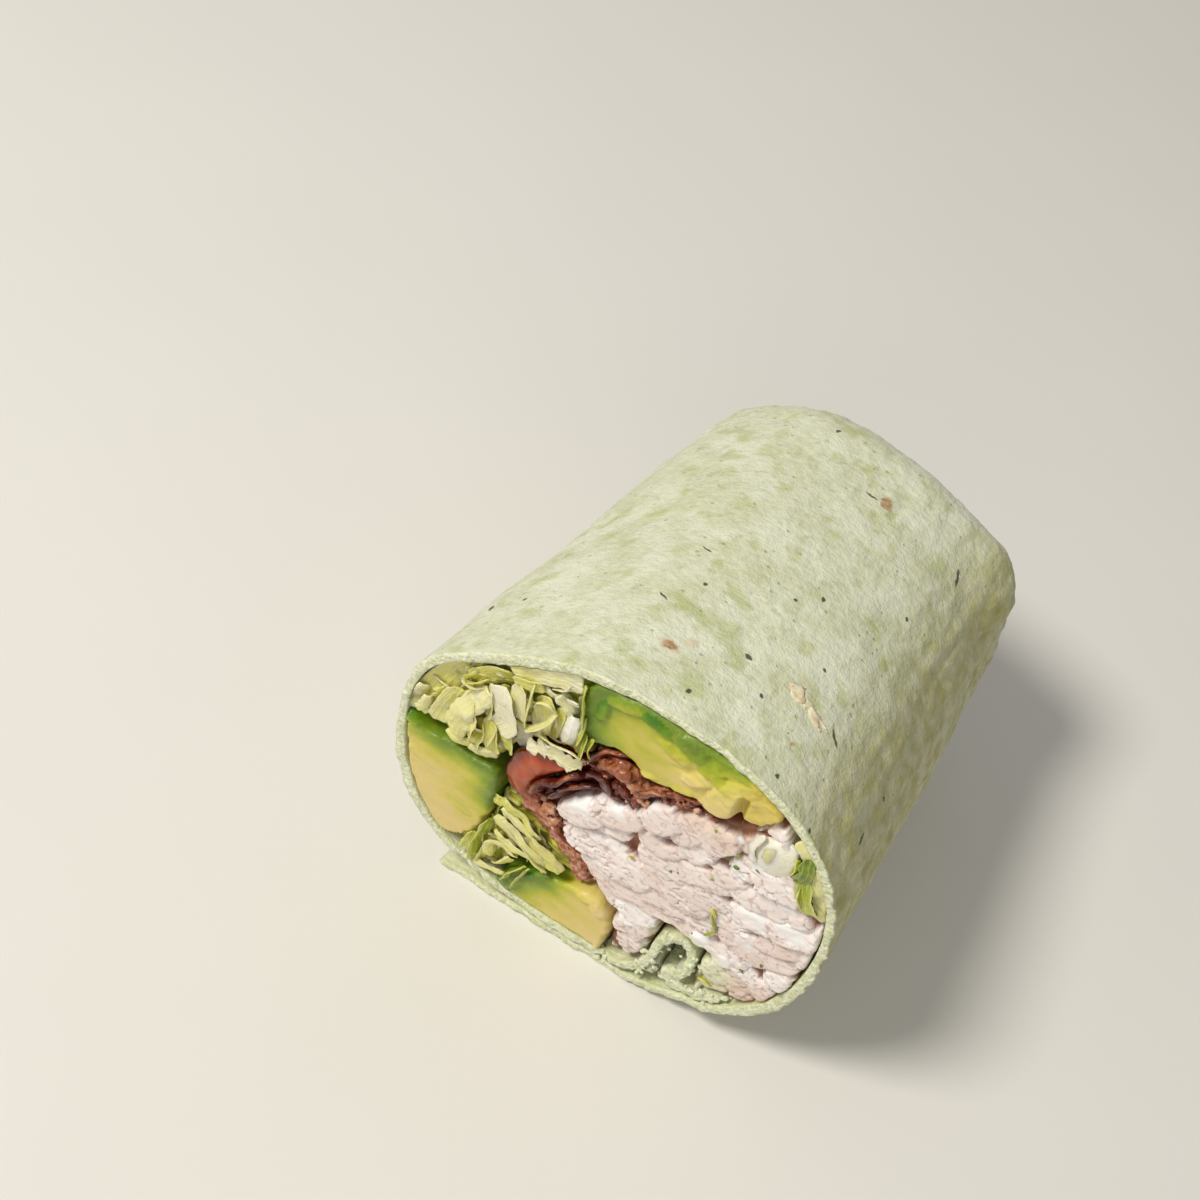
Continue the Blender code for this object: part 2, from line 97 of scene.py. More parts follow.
# The pleat that the sheet's first edge makes inside the roll, as x and z
FOLD_ROUTE = [
    (5.4, 3.3), (9.8, 3.9), (13.0, 6.6), (14.6, 10.8), (15.0, 15.6), (15.9, 20.4), (18.4, 22.6),
    (21.0, 20.6), (21.5, 16.4), (20.7, 13.2), (20.3, 10.8), (21.6, 9.0), (24.0, 9.4), (26.4, 11.0),
    (28.6, 12.9),
]
CURVE_STEPS = 6
RING = 330  # points once round the roll
OVERLAP = 7
TAIL_POINTS = 38
FOLD_POINTS = 62
POINT_GAP = 0.7  # between the points along the sheet
OUTER_STEPS = 132
INNER_STATIONS = (0.0, 0.7, 1.6, 3.0, 5.0, 8.0, 13.0, 20.0, 30.0, 45.0, 60.0, 75.0, BODY_LENGTH)
RIM_SHARES = (0.14, 0.38, 0.62, 0.86)
EDGE_RINGS = 28
FACE_RINGS = 34


def smooth(value, low, high):
    share = np.clip((value - low) / (high - low), 0, 1)
    return share * share * (3 - 2 * share)


def rows_of(*columns):
    """Rows of numbers from columns, any of which may be one number for all the rows."""
    return np.stack(np.broadcast_arrays(*columns), -1)


def grain(spots, size, seed=0.0):
    """Smooth random values from -1 to 1 at the spots, in lumps of about this size."""
    spots = np.asarray(spots, float) / size + seed
    values = [noise.noise(spot) for spot in spots.reshape(-1, 3).tolist()]
    return np.array(values).reshape(spots.shape[:-1])


def slump(angle):
    return SLUMP * np.exp(-(((angle % (2 * math.pi) - SLUMP_ANGLE) / SLUMP_WIDTH) ** 2))


def place(x, along, z):
    """Points of the straight roll in metres in the frame, with its taper and slanted ends."""
    share = along / LENGTH
    plumper = 1 + slump(np.arctan2(x, HALF_HEIGHT - z)) / HALF_HEIGHT * share
    x = x * plumper
    z = HALF_HEIGHT + (z - HALF_HEIGHT) * plumper
    size = 1 - TAPER * share
    cut = x * CUT_YAW - (z - HALF_HEIGHT) * CUT_LEAN
    tuck = x * END_YAW + (z - HALF_HEIGHT) * END_LEAN
    y = along + cut * (1 - share) - tuck * share**2
    return np.stack([size * x + CUT_FOOT[0], y + CUT_FOOT[1], size * z], -1) * MM


def outline(angle, inset=0.0):
    """x and z of the roll's outside, at angles from the bottom round to the right."""
    across = (np.abs(np.sin(angle)) / HALF_WIDTH) ** SQUARENESS
    upright = (np.abs(np.cos(angle)) / HALF_HEIGHT) ** SQUARENESS
    radius = (across + upright) ** (-1 / SQUARENESS) - slump(angle) - inset
    z = HALF_HEIGHT - radius * np.cos(angle)
    return radius * np.sin(angle), np.maximum(z - FLATTENED, inset)


def tuck_shift(angle):
    """How far the sheet has moved in, where it passes over its own tail."""
    turn = angle % (2 * math.pi)
    full = SHEET + LAYER_GAP
    return np.where(turn < FOLD_REACH, full, full * smooth(turn, TUCK_STARTS, TUCK_ENDS))


def curve_through(points, closed=False):
    """Points on a smooth curve through the given ones."""
    points = np.array(points, float)
    if closed:
        knots = np.vstack([points[-1:], points, points[:2]])
    else:
        knots = np.vstack([points[:1], points, points[-1:]])
    made = []
    for a, b, c, d in zip(knots, knots[1:], knots[2:], knots[3:]):
        for t in np.arange(CURVE_STEPS) / CURVE_STEPS:
            bend = 2 * a - 5 * b + 4 * c - d
            made.append(0.5 * (2 * b + (c - a) * t + bend * t * t + (3 * b - a - 3 * c + d) * t**3))
    if not closed:
        made.append(points[-1])
    return np.array(made)


def line_length(points):
    return np.linalg.norm(np.diff(points, axis=0), axis=1).sum()


def evenly(points, count):
    """The same line with this many points at even distances."""
    gaps = np.linalg.norm(np.diff(points, axis=0), axis=1)
    run = np.concatenate([[0], np.cumsum(gaps)])
    wanted = np.linspace(0, run[-1], count)
    return np.stack([np.interp(wanted, run, column) for column in points.T], -1)


TURN_ANGLES = 2 * math.pi * np.arange(RING + OVERLAP) / RING
TURN_SHIFT = np.where(TURN_ANGLES > math.pi, tuck_shift(TURN_ANGLES), 0)
FOLD_LINE = evenly(curve_through(FOLD_ROUTE), FOLD_POINTS)


def swell(angle, along):
    """Low uneven swells of the sheet over the filling."""
    spots = rows_of(np.sin(angle) * 1.3 + 3.1, along / 26, np.cos(angle) * 1.3 + 7.7)
    return SWELL * grain(spots, 1)


def wrinkled(angle, along):
    """Fine ripples, and creases along the roll where the sheet is bent hardest."""
    arc = angle * WRINKLE_RADIUS
    ripple = grain(rows_of(arc / 4.2, along / 4.6, 0), 1, 5.5)
    pucker = grain(rows_of(arc / 1.5, along / 4.4, 0), 1, 9.1)
    crease = grain(rows_of(arc / 2.6, along / 11, 0), 1, 2.7)
    bent = smooth(angle, 1.0, 1.5) * (1 - smooth(angle, 2.1, 2.75))
    pinched = smooth(along, 55, 80)
    left = smooth(angle, 3.7, 4.1)
    rise = 0.16 * ripple + (0.16 + 0.36 * bent + 0.14 * pinched) * pucker
    return rise + (0.08 + 0.36 * bent + 0.2 * pinched + 0.18 * left) * crease


def ear(angle, run):
    """The corner that the folded side of the sheet makes. run is measured from the fold."""
    turn = (angle - EAR_ANGLE + math.pi) % (2 * math.pi) - math.pi
    rise = smooth(run, -15, 5) * (1 - smooth(run, 6, 15))
    return EAR * rise * np.exp(-((turn / EAR_WIDTH) ** 2))


def sheet_station(along):
    """The sheet's middle at one station: x and z, the way out of it, and half its thickness."""
    tip = -TAIL_REACH + TAIL_DRAWS_IN * (ROUND_RADIUS - math.sqrt(ROUND_RADIUS**2 - along**2))
    tail_share = np.arange(TAIL_POINTS) / TAIL_POINTS
    turn_x, turn_z = outline(TURN_ANGLES, SHEET / 2 + TURN_SHIFT)
    x = np.concatenate([tip * (1 - tail_share), turn_x, FOLD_LINE[:, 0]])
    z = np.concatenate([np.full(TAIL_POINTS, SHEET / 2), turn_z, FOLD_LINE[:, 1]])
    way = np.stack([np.gradient(x), np.gradient(z)], -1)
    way /= np.hypot(*way.T)[:, None]
    half = np.full(len(x), SHEET / 2)
    half[:TAIL_POINTS] = (TAIL_TIP + (SHEET - TAIL_TIP) * tail_share) / 2
    from_end = np.minimum(np.arange(len(x)), np.arange(len(x))[::-1]) * POINT_GAP
    rounded = np.sqrt(1 - (1 - np.clip(from_end / EDGE_ROUNDING, 0.02, 1)) ** 2)
    z[:TAIL_POINTS] -= (SHEET / 2 - half[:TAIL_POINTS]) * (1 - tail_share)
    return x, z, way[:, 1], -way[:, 0], half * rounded


def grid_faces(rows, columns, start=0, closed=False):
    """Quads between the points of a net that is stored row by row."""
    gaps = columns if closed else columns - 1
    k, j = np.meshgrid(np.arange(rows - 1) * columns, np.arange(gaps), indexing="ij")
    right = (j + 1) % columns
    quads = np.stack([k + j, k + right, k + columns + right, k + columns + j], -1)
    return (quads.reshape(-1, 4) + start).tolist()


def build(name, finish, points, faces, marks):
    """A smooth mesh object. marks are values that its finish reads at each point."""
    mesh = bpy.data.meshes.new(name)
    mesh.from_pydata(np.asarray(points).tolist(), [], faces)
    for mark, values in marks.items():
        layer = mesh.attributes.new(mark, "FLOAT", "POINT")
        layer.data.foreach_set("value", np.asarray(values, np.float32))
    bm = bmesh.new()
    bm.from_mesh(mesh)
    bmesh.ops.recalc_face_normals(bm, faces=bm.faces)
    bm.to_mesh(mesh)
    bm.free()
    mesh.shade_smooth()
    made = bpy.data.objects.new(name, mesh)
    made.data.materials.append(finish)
    bpy.context.scene.collection.objects.link(made)
    return made


class Shade:
    """A value in a finish. Sums with it add Math nodes, and node() adds any other node."""

    def __init__(self, tree, socket=None):
        self.tree = tree
        self.socket = socket

    def node(self, kind, settings=None, inputs=None, out=0):
        made = self.tree.nodes.new("ShaderNode" + kind)
        for name, value in (settings or {}).items():
            if name == "stops":
                ramp = made.color_ramp.elements
                ramp[0].position, ramp[0].color = value[0]
                ramp[1].position, ramp[1].color = value[-1]
                for position, colour in value[1:-1]:
                    ramp.new(position).color = colour
            else:
                setattr(made, name, value)
        for name, value in (inputs or {}).items():
            if isinstance(value, Shade):
                self.tree.links.new(value.socket, made.inputs[name])
            else:
                made.inputs[name].default_value = value
        return Shade(self.tree, made.outputs[out])

    def math(self, operation, *values):
        return self.node("Math", {"operation": operation}, dict(enumerate(values)))

    def vector(self, operation, *values, out=0):
        return self.node("VectorMath", {"operation": operation}, dict(enumerate(values)), out)

    def __add__(self, other):
        return self.math("ADD", self, other)

    def __radd__(self, other):
        return self.math("ADD", other, self)

    def __sub__(self, other):
        return self.math("SUBTRACT", self, other)

    def __rsub__(self, other):
        return self.math("SUBTRACT", other, self)

    def __mul__(self, other):
        return self.math("MULTIPLY", self, other)

    def __rmul__(self, other):
        return self.math("MULTIPLY", other, self)

    def between(self, low, high):
        """0 up to low and 1 from high, eased; the other way round if low is the larger."""
        sockets = {"Value": self, "From Min": low, "From Max": high}
        return self.node("MapRange", {"interpolation_type": "SMOOTHSTEP"}, sockets)

    def mark(self, name):
        """A mark of the mesh, as build() stored it."""
        return self.node("Attribute", {"attribute_name": name}, out="Fac")

    def mix(self, under, over):
        """The colour over, laid on the colour under as strongly as this value says."""
        return self.node("Mix", {"data_type": "RGBA"}, {0: self, 6: under, 7: over}, out=2)

    def ramp(self, stops):
        """The colour that stands at this value among the stops."""
        return self.node("ValToRGB", {"stops": stops}, {"Fac": self})

    def bump(self, strength, depth):
        """This value as fine relief, for the shader's normal."""
        return self.node("Bump", {}, {"Strength": strength, "Distance": depth, "Height": self})

    def cloud(self, size, detail=2.0, seed=0.0):
        """Soft noise from 0 to 1 over this place, in lumps of about this size."""
        shifted = self.vector("ADD", self, (seed,) * 3)
        return self.node("TexNoise", {}, {"Vector": shifted, "Scale": 1 / size, "Detail": detail})

    def specks(self, size, seed=0.0):
        """The distance to the nearest of many scattered specks, about this far apart."""
        cells = {"Vector": self.vector("ADD", self, (seed,) * 3), "Scale": 1 / size}
        return self.node("TexVoronoi", {}, cells, out="Distance") * size


def tint(red, green, blue):
    """A colour from its 0 to 255 screen values."""
    channels = [channel / 255 for channel in (red, green, blue)]
    return (*[c / 12.92 if c <= 0.04045 else ((c + 0.055) / 1.055) ** 2.4 for c in channels], 1)


def new_finish(name, **constants):
    """A new material with these settings all over, and the place in it in mm."""
    made = bpy.data.materials.new(name)
    made.use_nodes = True
    shader = made.node_tree.nodes["Principled BSDF"]
    for socket, value in constants.items():
        shader.inputs[socket.replace("_", " ")].default_value = value
    where = Shade(made.node_tree).node("TexCoord", out="Object")
    return made, where.vector("MULTIPLY", where, (1 / MM,) * 3)


def surface(where, **varying):
    """Gives a finish what changes over its surface."""
    shader = where.tree.nodes["Principled BSDF"]
    for socket, value in varying.items():
        where.tree.links.new(value.socket, shader.inputs[socket.replace("_", " ")])


# Patches all over the sheet: size, detail and seed of a cloud, where in it a patch begins and
# is full, and the patch's strength and colour
PATCHES = [
    (1.6, 4, 7.1, 0.34, 0.68, 0.42, tint(232, 233, 214)),
    (5, 5, 11.0, 0.5, 0.72, 0.62, tint(182, 186, 118)),
    (2.0, 4, 31.0, 0.56, 0.76, 0.42, tint(158, 166, 104)),
]
# Marks on the outside of the sheet: angle round the roll, distance along it, length and
# width in mm, and the turn of the long side from the roll's own direction
TOASTED = [
    (169.5, 71.2, 1.7, 1.1, 20), (186.1, 12.3, 1.2, 0.9, 70), (151.5, 9.9, 0.55, 0.45, 10),
]
PINKISH = [
    (186.1, 12.3, 1.9, 1.4, 70), (182.0, 15.5, 0.9, 0.7, 0), (152.5, 65.1, 0.9, 0.6, 0),
    (183.0, 14.8, 1.1, 0.8, 0),
]
CHARRED = [
    (174.4, 70.6, 1.5, 0.22, 75), (141.7, 70.7, 1.9, 0.42, 25), (170.7, 19.1, 0.75, 0.55, 60),
    (175.7, 5.9, 0.5, 0.4, 0), (166.2, 40.3, 0.6, 0.35, 30), (171.2, 35.9, 0.35, 0.3, 0),
    (190.4, 28.3, 0.5, 0.35, 0), (196.0, 21.8, 1.2, 0.2, 60), (240.7, 14.1, 1.0, 0.5, 30),
    (231.3, 15.8, 0.5, 0.3, 0), (163.1, 13.5, 0.42, 0.3, 0), (155.6, 26.9, 0.3, 0.3, 0),
    (146.5, 51.4, 0.32, 0.3, 0), (123.3, 10.9, 1.4, 0.35, 5), (144.8, 17.4, 1.6, 0.3, 40),
    (150.2, 3.0, 0.45, 0.4, 0), (137.6, 0.8, 0.5, 0.35, 0), (123.4, 20.9, 0.45, 0.4, 0),
    (195.5, 82.0, 0.6, 0.4, 0), (197.1, 36.4, 1.1, 0.2, 70),
]
LEAFY = [
    (176.1, 7.4, 3.0, 2.0, 20), (182.2, 29.3, 3.0, 1.2, 60), (189.0, 22.0, 5.0, 1.3, 65),
    (193.4, 7.1, 2.2, 1.4, 0), (178.2, 21.0, 2.6, 1.8, 0), (172.4, 17.4, 3.0, 1.6, 30),
    (151.5, 42.7, 2.6, 0.9, 60), (144.9, 38.6, 1.8, 1.3, 0), (147.8, 68.9, 2.4, 1.0, 30),
    (148.5, 25.0, 1.6, 1.0, 0), (166.9, 69.6, 1.2, 1.0, 0),
]
MARK_DEPTH = 4.0  # how far in and out of the sheet a mark reaches


def on_sheet(angle, along, turn):
    """A mark's place in the frame on the outside of the sheet, and its long, short and out ways."""
    def spot(angle, along):
        angle, along = np.array(math.radians(angle)), np.array(float(along))
        x, z = outline(angle, -swell(angle, along))
        return place(x, along, z)

    here = spot(angle, along)
    forward = Vector(spot(angle, along + 1) - here).normalized()
    aside = Vector(spot(angle + 2, along) - here).normalized()
    turn = math.radians(turn)
    long_way = forward * math.cos(turn) + aside * math.sin(turn)
    short_way = aside * math.cos(turn) - forward * math.sin(turn)
    return Vector(here), (long_way, short_way, long_way.cross(short_way))


def marked(where, marks, ragged, crisp):
    """1 inside the listed marks, with ragged edges, soft where crisp is near 0."""
    loose = where.node("TexNoise", {}, {"Vector": where, "Scale": 0.9, "Detail": 3.0}, out="Color")
    loose = where.vector("SUBTRACT", loose, (0.5, 0.5, 0.5))
    moved = where.vector("ADD", where, where.vector("MULTIPLY", loose, (ragged,) * 3))
    total = None
    for angle, along, length, width, turn in marks:
        centre, ways = on_sheet(angle, along, turn)
        offset = where.vector("SUBTRACT", moved, centre / MM)
        far = []
        for way, reach in zip(ways, (length, width, MARK_DEPTH)):
            run = where.vector("DOT_PRODUCT", offset, way / reach, out="Value")
            far.append(run * run)
        here = (far[0] + far[1] + far[2]).between(1.9 - crisp, 0.2 + 0.6 * crisp)
        total = here if total is None else here.math("MAXIMUM", total, here)
    return total


def sheet_finish():
    dry = {"Specular_IOR_Level": 0.3, "Sheen_Weight": 0.12, "Sheen_Roughness": 0.6}
    made, where = new_finish("sheet", **dry)
    bloom = where.cloud(9, 4, 3.3).between(0.36, 0.66)
    colour = bloom.mix(tint(206, 209, 172), tint(224, 226, 200))
    for size, detail, seed, begins, full, strength, patch in PATCHES:
        patches = where.cloud(size, detail, seed).between(begins, full)
        colour = (patches * strength).mix(colour, patch)
    warm = where.cloud(3.5, 5, 21.0).between(0.3, 0.7)
    # The "bent" mark's olive is partly the sheet's own tone, partly painted shade and warm bounced light.
    colour = (where.mark("bent") * (warm * 0.5 + 0.42)).mix(colour, tint(170, 164, 92))
    colour = (marked(where, LEAFY, 3.2, 0.1) * 0.42).mix(colour, tint(168, 178, 92))
    pores = where.specks(3.1, 2.0).between(0.42, 0.2)
    colour = (pores * 0.4).mix(colour, tint(146, 152, 100))
    herbs = (where.specks(7.5, 40.0) + where.cloud(0.5, 2) * 0.4).between(0.5, 0.32)
    colour = (herbs * 0.7).mix(colour, tint(84, 88, 36))
    colour = (marked(where, PINKISH, 1.5, 0.3) * 0.34).mix(colour, tint(206, 172, 134))
    toast = where.cloud(0.8, 3, 8.0).between(0.3, 0.7).mix(tint(150, 96, 34), tint(196, 150, 104))
    colour = (marked(where, TOASTED, 1.8, 0.4) * 0.8).mix(colour, toast)
    colour = (marked(where, CHARRED, 0.9, 0.55) * 0.9).mix(colour, tint(46, 44, 18))
    cut = where.mark("cut")
    dough = where.cloud(0.8, 3, 14.0).between(0.35, 0.65)
    dough = dough.mix(tint(206, 212, 160), tint(238, 238, 214))
    colour = (cut * 0.9).mix(colour, dough)
    colour = (where.mark("inside") * 0.5).mix(colour, tint(206, 210, 156))
    # Painted shade: the inside of the roll gets darker the deeper it lies from the cut.
    colour = (where.mark("damp") * 0.75).mix(colour, tint(104, 98, 46))
    rough = 0.52 + 0.25 * where.cloud(2, 2, 4.0)
    height = where.cloud(0.4, 3, 1.0) * 0.5 + where.cloud(1.3, 3, 5.0) * 1.3 + pores * -0.6
    height = height + cut * where.cloud(0.6, 3) * 1.5
    surface(where, Base_Color=colour, Roughness=rough, Normal=height.bump(0.6, 0.0005))
    return made


def sheet_row(side, value, angles):
    """A row of points on the sheet: along its outside or inside, or over its cut rim."""
    along = 0.0 if side == "rim" else value
    x, z, side_x, side_z, half = sheet_station(along)
    run = np.full(len(x), along)
    number = np.arange(len(x))
    first_edge = TAIL_POINTS + RING
    folded = smooth(number, first_edge, first_edge + 12) * smooth(number, len(x) - 1, len(x) - 8)
    loose = rows_of(x / 3.2, z / 3.2, run / 14)
    half = half * (1 + 0.3 * folded * grain(loose, 1, 6.0))
    x = x + CRUSHED * folded * grain(loose, 1, 16.0)
    z = z + CRUSHED * folded * grain(loose, 1, 26.0)
    lift = swell(angles, run) * smooth(z, 4, 20) + wrinkled(angles, run) * smooth(z, 1, 8)
    lift = lift * (1 - smooth(angles, 5.2, 5.5)) + ear(angles, run - BODY_LENGTH)
    lift = np.where((angles > 0) & (angles < COVERED), lift, 0)
    ragged = RAGGED * grain(rows_of(x / 5, z / 5, 1.7), 1)
    ragged += (0.3 + 0.5 * folded) * grain(rows_of(x, z, 0), 1.5)
    if side == "rim":
        spread = 1 - 2 * value
        out = half * spread + lift * (1 - value)
        crumb = RIM_CRUMB * grain(rows_of(x, z, value * 4), 0.8)
        run = ragged - (RIM_BULGE * (1 - spread**2) + crumb)
    else:
        out = half + lift if side == "outer" else -half
        run = run + ragged * (1 - smooth(run, 0, 2.0))
    return place(x + side_x * out, run, np.maximum(z + side_z * out, 0))


def tucked_end(turn):
    """Rings of points over the folded-in side: round its bend, then over its creased face."""
    rings = []
    for run in np.linspace(0, FOLD_RADIUS * FOLD_TURN, EDGE_RINGS + 1)[1:]:
        bend = run / FOLD_RADIUS
        beyond, inset = FOLD_RADIUS * math.sin(bend), FOLD_RADIUS * (1 - math.cos(bend))
        inset = inset + tuck_shift(turn) * (turn > math.pi) * (1 - smooth(run, 0, 5))
        stretch = ear(turn, run)
        x, z = outline(turn, inset - stretch)
        ripple = wrinkled(turn, BODY_LENGTH + run) * smooth(z, 1, 8)
        lift = swell(turn, BODY_LENGTH) * smooth(z, 4, 20) + ripple * (1 - smooth(turn, 5.2, 5.5))
        lowest = 0.15 + 0.4 * np.maximum(inset, 0)
        z = np.maximum(z - lift * np.cos(turn), lowest)
        rings.append(place(x + lift * np.sin(turn), BODY_LENGTH + beyond + EAR_LEANS * stretch, z))
    corner = rings[-1]
    middle = np.array([CUT_FOOT[0] * MM, 0, HALF_HEIGHT * (1 - TAPER) * MM])
    for size in np.linspace(1, 0.03, FACE_RINGS + 1)[1:]:
        past = (turn / (2 * math.pi) + SWIRL_TURNS * size) % 1
        lap = SWIRL_LAP * past * (1 - smooth(past, 0.955, 1.0)) * min(3 * size, 3 - 3 * size, 1)
        depth = np.interp(size, np.linspace(0, 1, len(END_DEPTHS)), END_DEPTHS)
        spots = rows_of(np.cos(turn) * 2.2 + 3 * size, size * 1.5, np.sin(turn) * 2.2)
        crease = (grain(spots, 1, 4.4) + 0.7 * grain(spots, 0.4, 1.4)) * min(1, 3 * (1 - size))
        lift = 0.6 * min(1, 5 * (1 - size)) - depth + lap + 0.9 * crease * min(1, 4 * size)
        ring = middle + (corner - middle) * size
        ring[:, 1] = corner[:, 1] * size + corner[:, 1].mean() * (1 - size) + lift * MM
        rings.append(ring)
    return rings


def bent_side_shade(angle):
    """1 on the right side, where the sheet turns hardest and lies in painted shade."""
    return smooth(angle, 0.6, 1.3) * (1 - smooth(angle, 2.2, 2.7))


def sheet_mesh():
    """The rolled sheet with its thickness, and the folded-in side that shuts the far end."""
    stations = BODY_LENGTH * (np.linspace(0, 1, OUTER_STEPS) ** 1.12)[::-1]
    angles = np.concatenate([np.zeros(TAIL_POINTS), TURN_ANGLES, np.full(FOLD_POINTS, 6.5)])
    sides = (("outer", stations), ("rim", RIM_SHARES), ("inner", INNER_STATIONS))
    rows = [sheet_row(side, value, angles) for side, values in sides for value in values]
    turn = TURN_ANGLES[:RING]
    end = tucked_end(turn)
    columns = len(angles)
    first_edge = TAIL_POINTS + RING
    tips = [end[-1].mean(0), rows[-1][TAIL_POINTS:first_edge].mean(0)]
    points = np.vstack([*rows, *end, tips])
    start = len(rows) * columns
    last = start - columns
    tip = len(points) - 2
    faces = grid_faces(len(rows), columns) + grid_faces(len(end), RING, start, closed=True)
    for j in [*range(TAIL_POINTS), *range(first_edge, columns - 1)]:
        faces.append((last + j, last + j + 1, j + 1, j))
    for j in (0, columns - 1):
        faces.append([k * columns + j for k in range(len(rows))])
    for j in range(RING):
        after = (j + 1) % RING
        faces.append((TAIL_POINTS + after, TAIL_POINTS + j, start + j, start + after))
        faces.append((tip - RING + j, tip - RING + after, tip))
        faces.append((last + TAIL_POINTS + j, last + TAIL_POINTS + after, tip + 1))

    marks = {mark: np.zeros(len(rows)) for mark in ("cut", "inside", "damp")}
    marks["cut"][OUTER_STEPS - 1] = 0.6
    marks["cut"][OUTER_STEPS:-len(INNER_STATIONS) + 1] = 1
    marks["inside"][-len(INNER_STATIONS):] = 1
    # Painted shade on the inner side, growing from 1.5 to 7 mm in from the cut.
    marks["damp"][-len(INNER_STATIONS):] = smooth(np.array(INNER_STATIONS), 1.5, 7)
    rest = np.zeros(len(points) - start)
    for mark, values in marks.items():
        marks[mark] = np.concatenate([np.repeat(values, columns), rest])
    # Painted shade and warm bounced light on the right side, fading into the tucked end's face.
    end_side_shade = smooth(np.arange(len(end)), EDGE_RINGS + 4, 8)[:, None] * bent_side_shade(turn)
    row_side_shade = np.tile(bent_side_shade(angles), len(rows))
    marks["bent"] = np.concatenate([row_side_shade, end_side_shade.ravel(), [0, 0]])
    return points, faces, marks


sheet = build("tortilla_sheet", sheet_finish(), *sheet_mesh())
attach(sheet, "root")
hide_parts("tortilla")


# The fillings. Each runs through the whole half inside the sheet and was cut with it, so its
# cut end shows. cut_piece() makes one: a net over the end, with relief, and its hidden sides.

FILL_BACK = 75.0
FILL_GAP = 0.25
SIDE_DEPTHS = (0.9, 3.0, 9.0)  # rows of points down a filling's sides
ROW_GAP = 0.87  # between rows of a net of even triangles, for a side of 1


def keep_in_sheet(points):
    """Moves points of a filling's outline in from the sheet's inner side."""
    x, z = points.T
    middle = HALF_HEIGHT - FLATTENED
    angle = np.arctan2(x, middle - z)
    inset = SHEET + FILL_GAP + tuck_shift(angle)
    wall_x, wall_z = outline(angle, inset)
    share = np.hypot(wall_x, wall_z + FLATTENED - HALF_HEIGHT) / np.hypot(x, middle - z)
    share = np.minimum(share, 1)
    return np.stack([x * share, np.maximum(middle - (middle - z) * share, inset)], -1)


def inside(points, loop):
    """Which of the points lie inside the closed outline."""
    x, z = points[:, :1], points[:, 1:]
    ax, az = loop.T
    bx, bz = np.roll(loop, -1, 0).T
    crossing = (az > z) != (bz > z)
    with np.errstate(divide="ignore", invalid="ignore"):
        hit = x < (bx - ax) * (z - az) / (bz - az) + ax
    return (crossing & hit).sum(1) % 2 == 1


def cut_piece(corners, spacing, face, round_off=0.8, back=FILL_BACK):
    """Points, faces and marks of a filling. face() gives its relief and marks at x and z."""
    loop = keep_in_sheet(curve_through(corners, closed=True))
    loop = np.vstack([loop, loop[:1]])
    loop = evenly(loop, int(line_length(loop) / spacing))[:-1]
    spots = rows_of(*loop.T, 0)
    for amount, size in ((0.4, 2.6), (0.15, 0.9)):
        loop = loop + amount * rows_of(grain(spots, size, 3.0), grain(spots, size, 13.0))
    loop = keep_in_sheet(loop)
    (low_x, low_z), (high_x, high_z) = loop.min(0), loop.max(0)
    heights = np.arange(low_z, high_z, spacing * ROW_GAP)
    columns, rows = np.meshgrid(np.arange(low_x, high_x, spacing), heights, indexing="ij")
    columns = columns + (np.arange(len(heights)) % 2) * spacing / 2
    net = np.stack([columns.ravel(), rows.ravel()], -1)
    net = net[inside(net, loop)]
    away = np.sqrt(((net[:, None] - loop[None]) ** 2).sum(2).min(1))
    clear = away > spacing * 0.6
    flat = np.vstack([loop, net[clear]])
    away = np.concatenate([np.zeros(len(loop)), away[clear]])
    count = len(loop)
    sides = [(i, (i + 1) % count) for i in range(count)]
    faces = delaunay_2d_cdt([Vector(spot) for spot in flat.tolist()], sides, [], 1, 1e-6)[2]
    x, z = flat.T
    relief, marks = face(x, z, away)
    relief = relief - round_off * (1 - np.sqrt(1 - (1 - np.clip(away / round_off, 0, 1)) ** 2))
    points = [place(x, -relief, z)]
    for along in (*(depth - relief[:count] for depth in SIDE_DEPTHS), back):
        points.append(place(loop[:, 0], along, loop[:, 1]))
    starts = [0, *range(len(flat), len(flat) + 4 * count, count)]
    for front, behind in zip(starts, starts[1:]):
        faces += [(front + j, front + i, behind + i, behind + j) for i, j in sides]
    faces.append(list(range(starts[-1], starts[-1] + count)))
    for mark, values in marks.items():
        marks[mark] = np.concatenate([values, np.tile(values[:count], 4)])
    return np.vstack(points), faces, marks


class Heap:
    """Many pieces of one kind in one mesh, each with the same marks."""

    def __init__(self, *marks):
        self.points, self.faces, self.count = [], [], 0
        self.marks = {mark: [] for mark in marks}

    def add(self, points, faces, marks):
        points = np.asarray(points).reshape(-1, 3)
        self.faces += [[corner + self.count for corner in face] for face in faces]
        self.points.append(points)
        self.count += len(points)
        for mark, values in self.marks.items():
            values.append(np.broadcast_to(marks.get(mark, 0.0), len(points)))

    def build(self, name, finish):
        marks = {mark: np.concatenate(values) for mark, values in self.marks.items()}
        return build(name, finish, np.vstack(self.points), self.faces, marks)


def unit_ball():
    """A ball of triangles with radius 1."""
    bm = bmesh.new()
    bmesh.ops.create_icosphere(bm, subdivisions=3, radius=1)
    points = np.array([vert.co[:] for vert in bm.verts])
    faces = [[vert.index for vert in face.verts] for face in bm.faces]
    bm.free()
    return points, faces


BALL, BALL_FACES = unit_ball()


def rotated(x, z, degrees):
    turn = math.radians(degrees)
    return x * math.cos(turn) - z * math.sin(turn), x * math.sin(turn) + z * math.cos(turn)


def chunk(at, radii, turn, rough, seed):
    """An uneven lump: at x, z and out of the cut, turned in the plane of the cut."""
    lumps = 1 + rough * grain(BALL, 0.8, seed) + 0.5 * rough * grain(BALL, 0.35, seed)
    long, short, deep = radii
    x, out, z = (BALL * lumps[:, None] * (long, deep, short)).T
    x, z = rotated(x, z, turn)
    return place(at[0] + x, -(at[2] + out), at[1] + z)


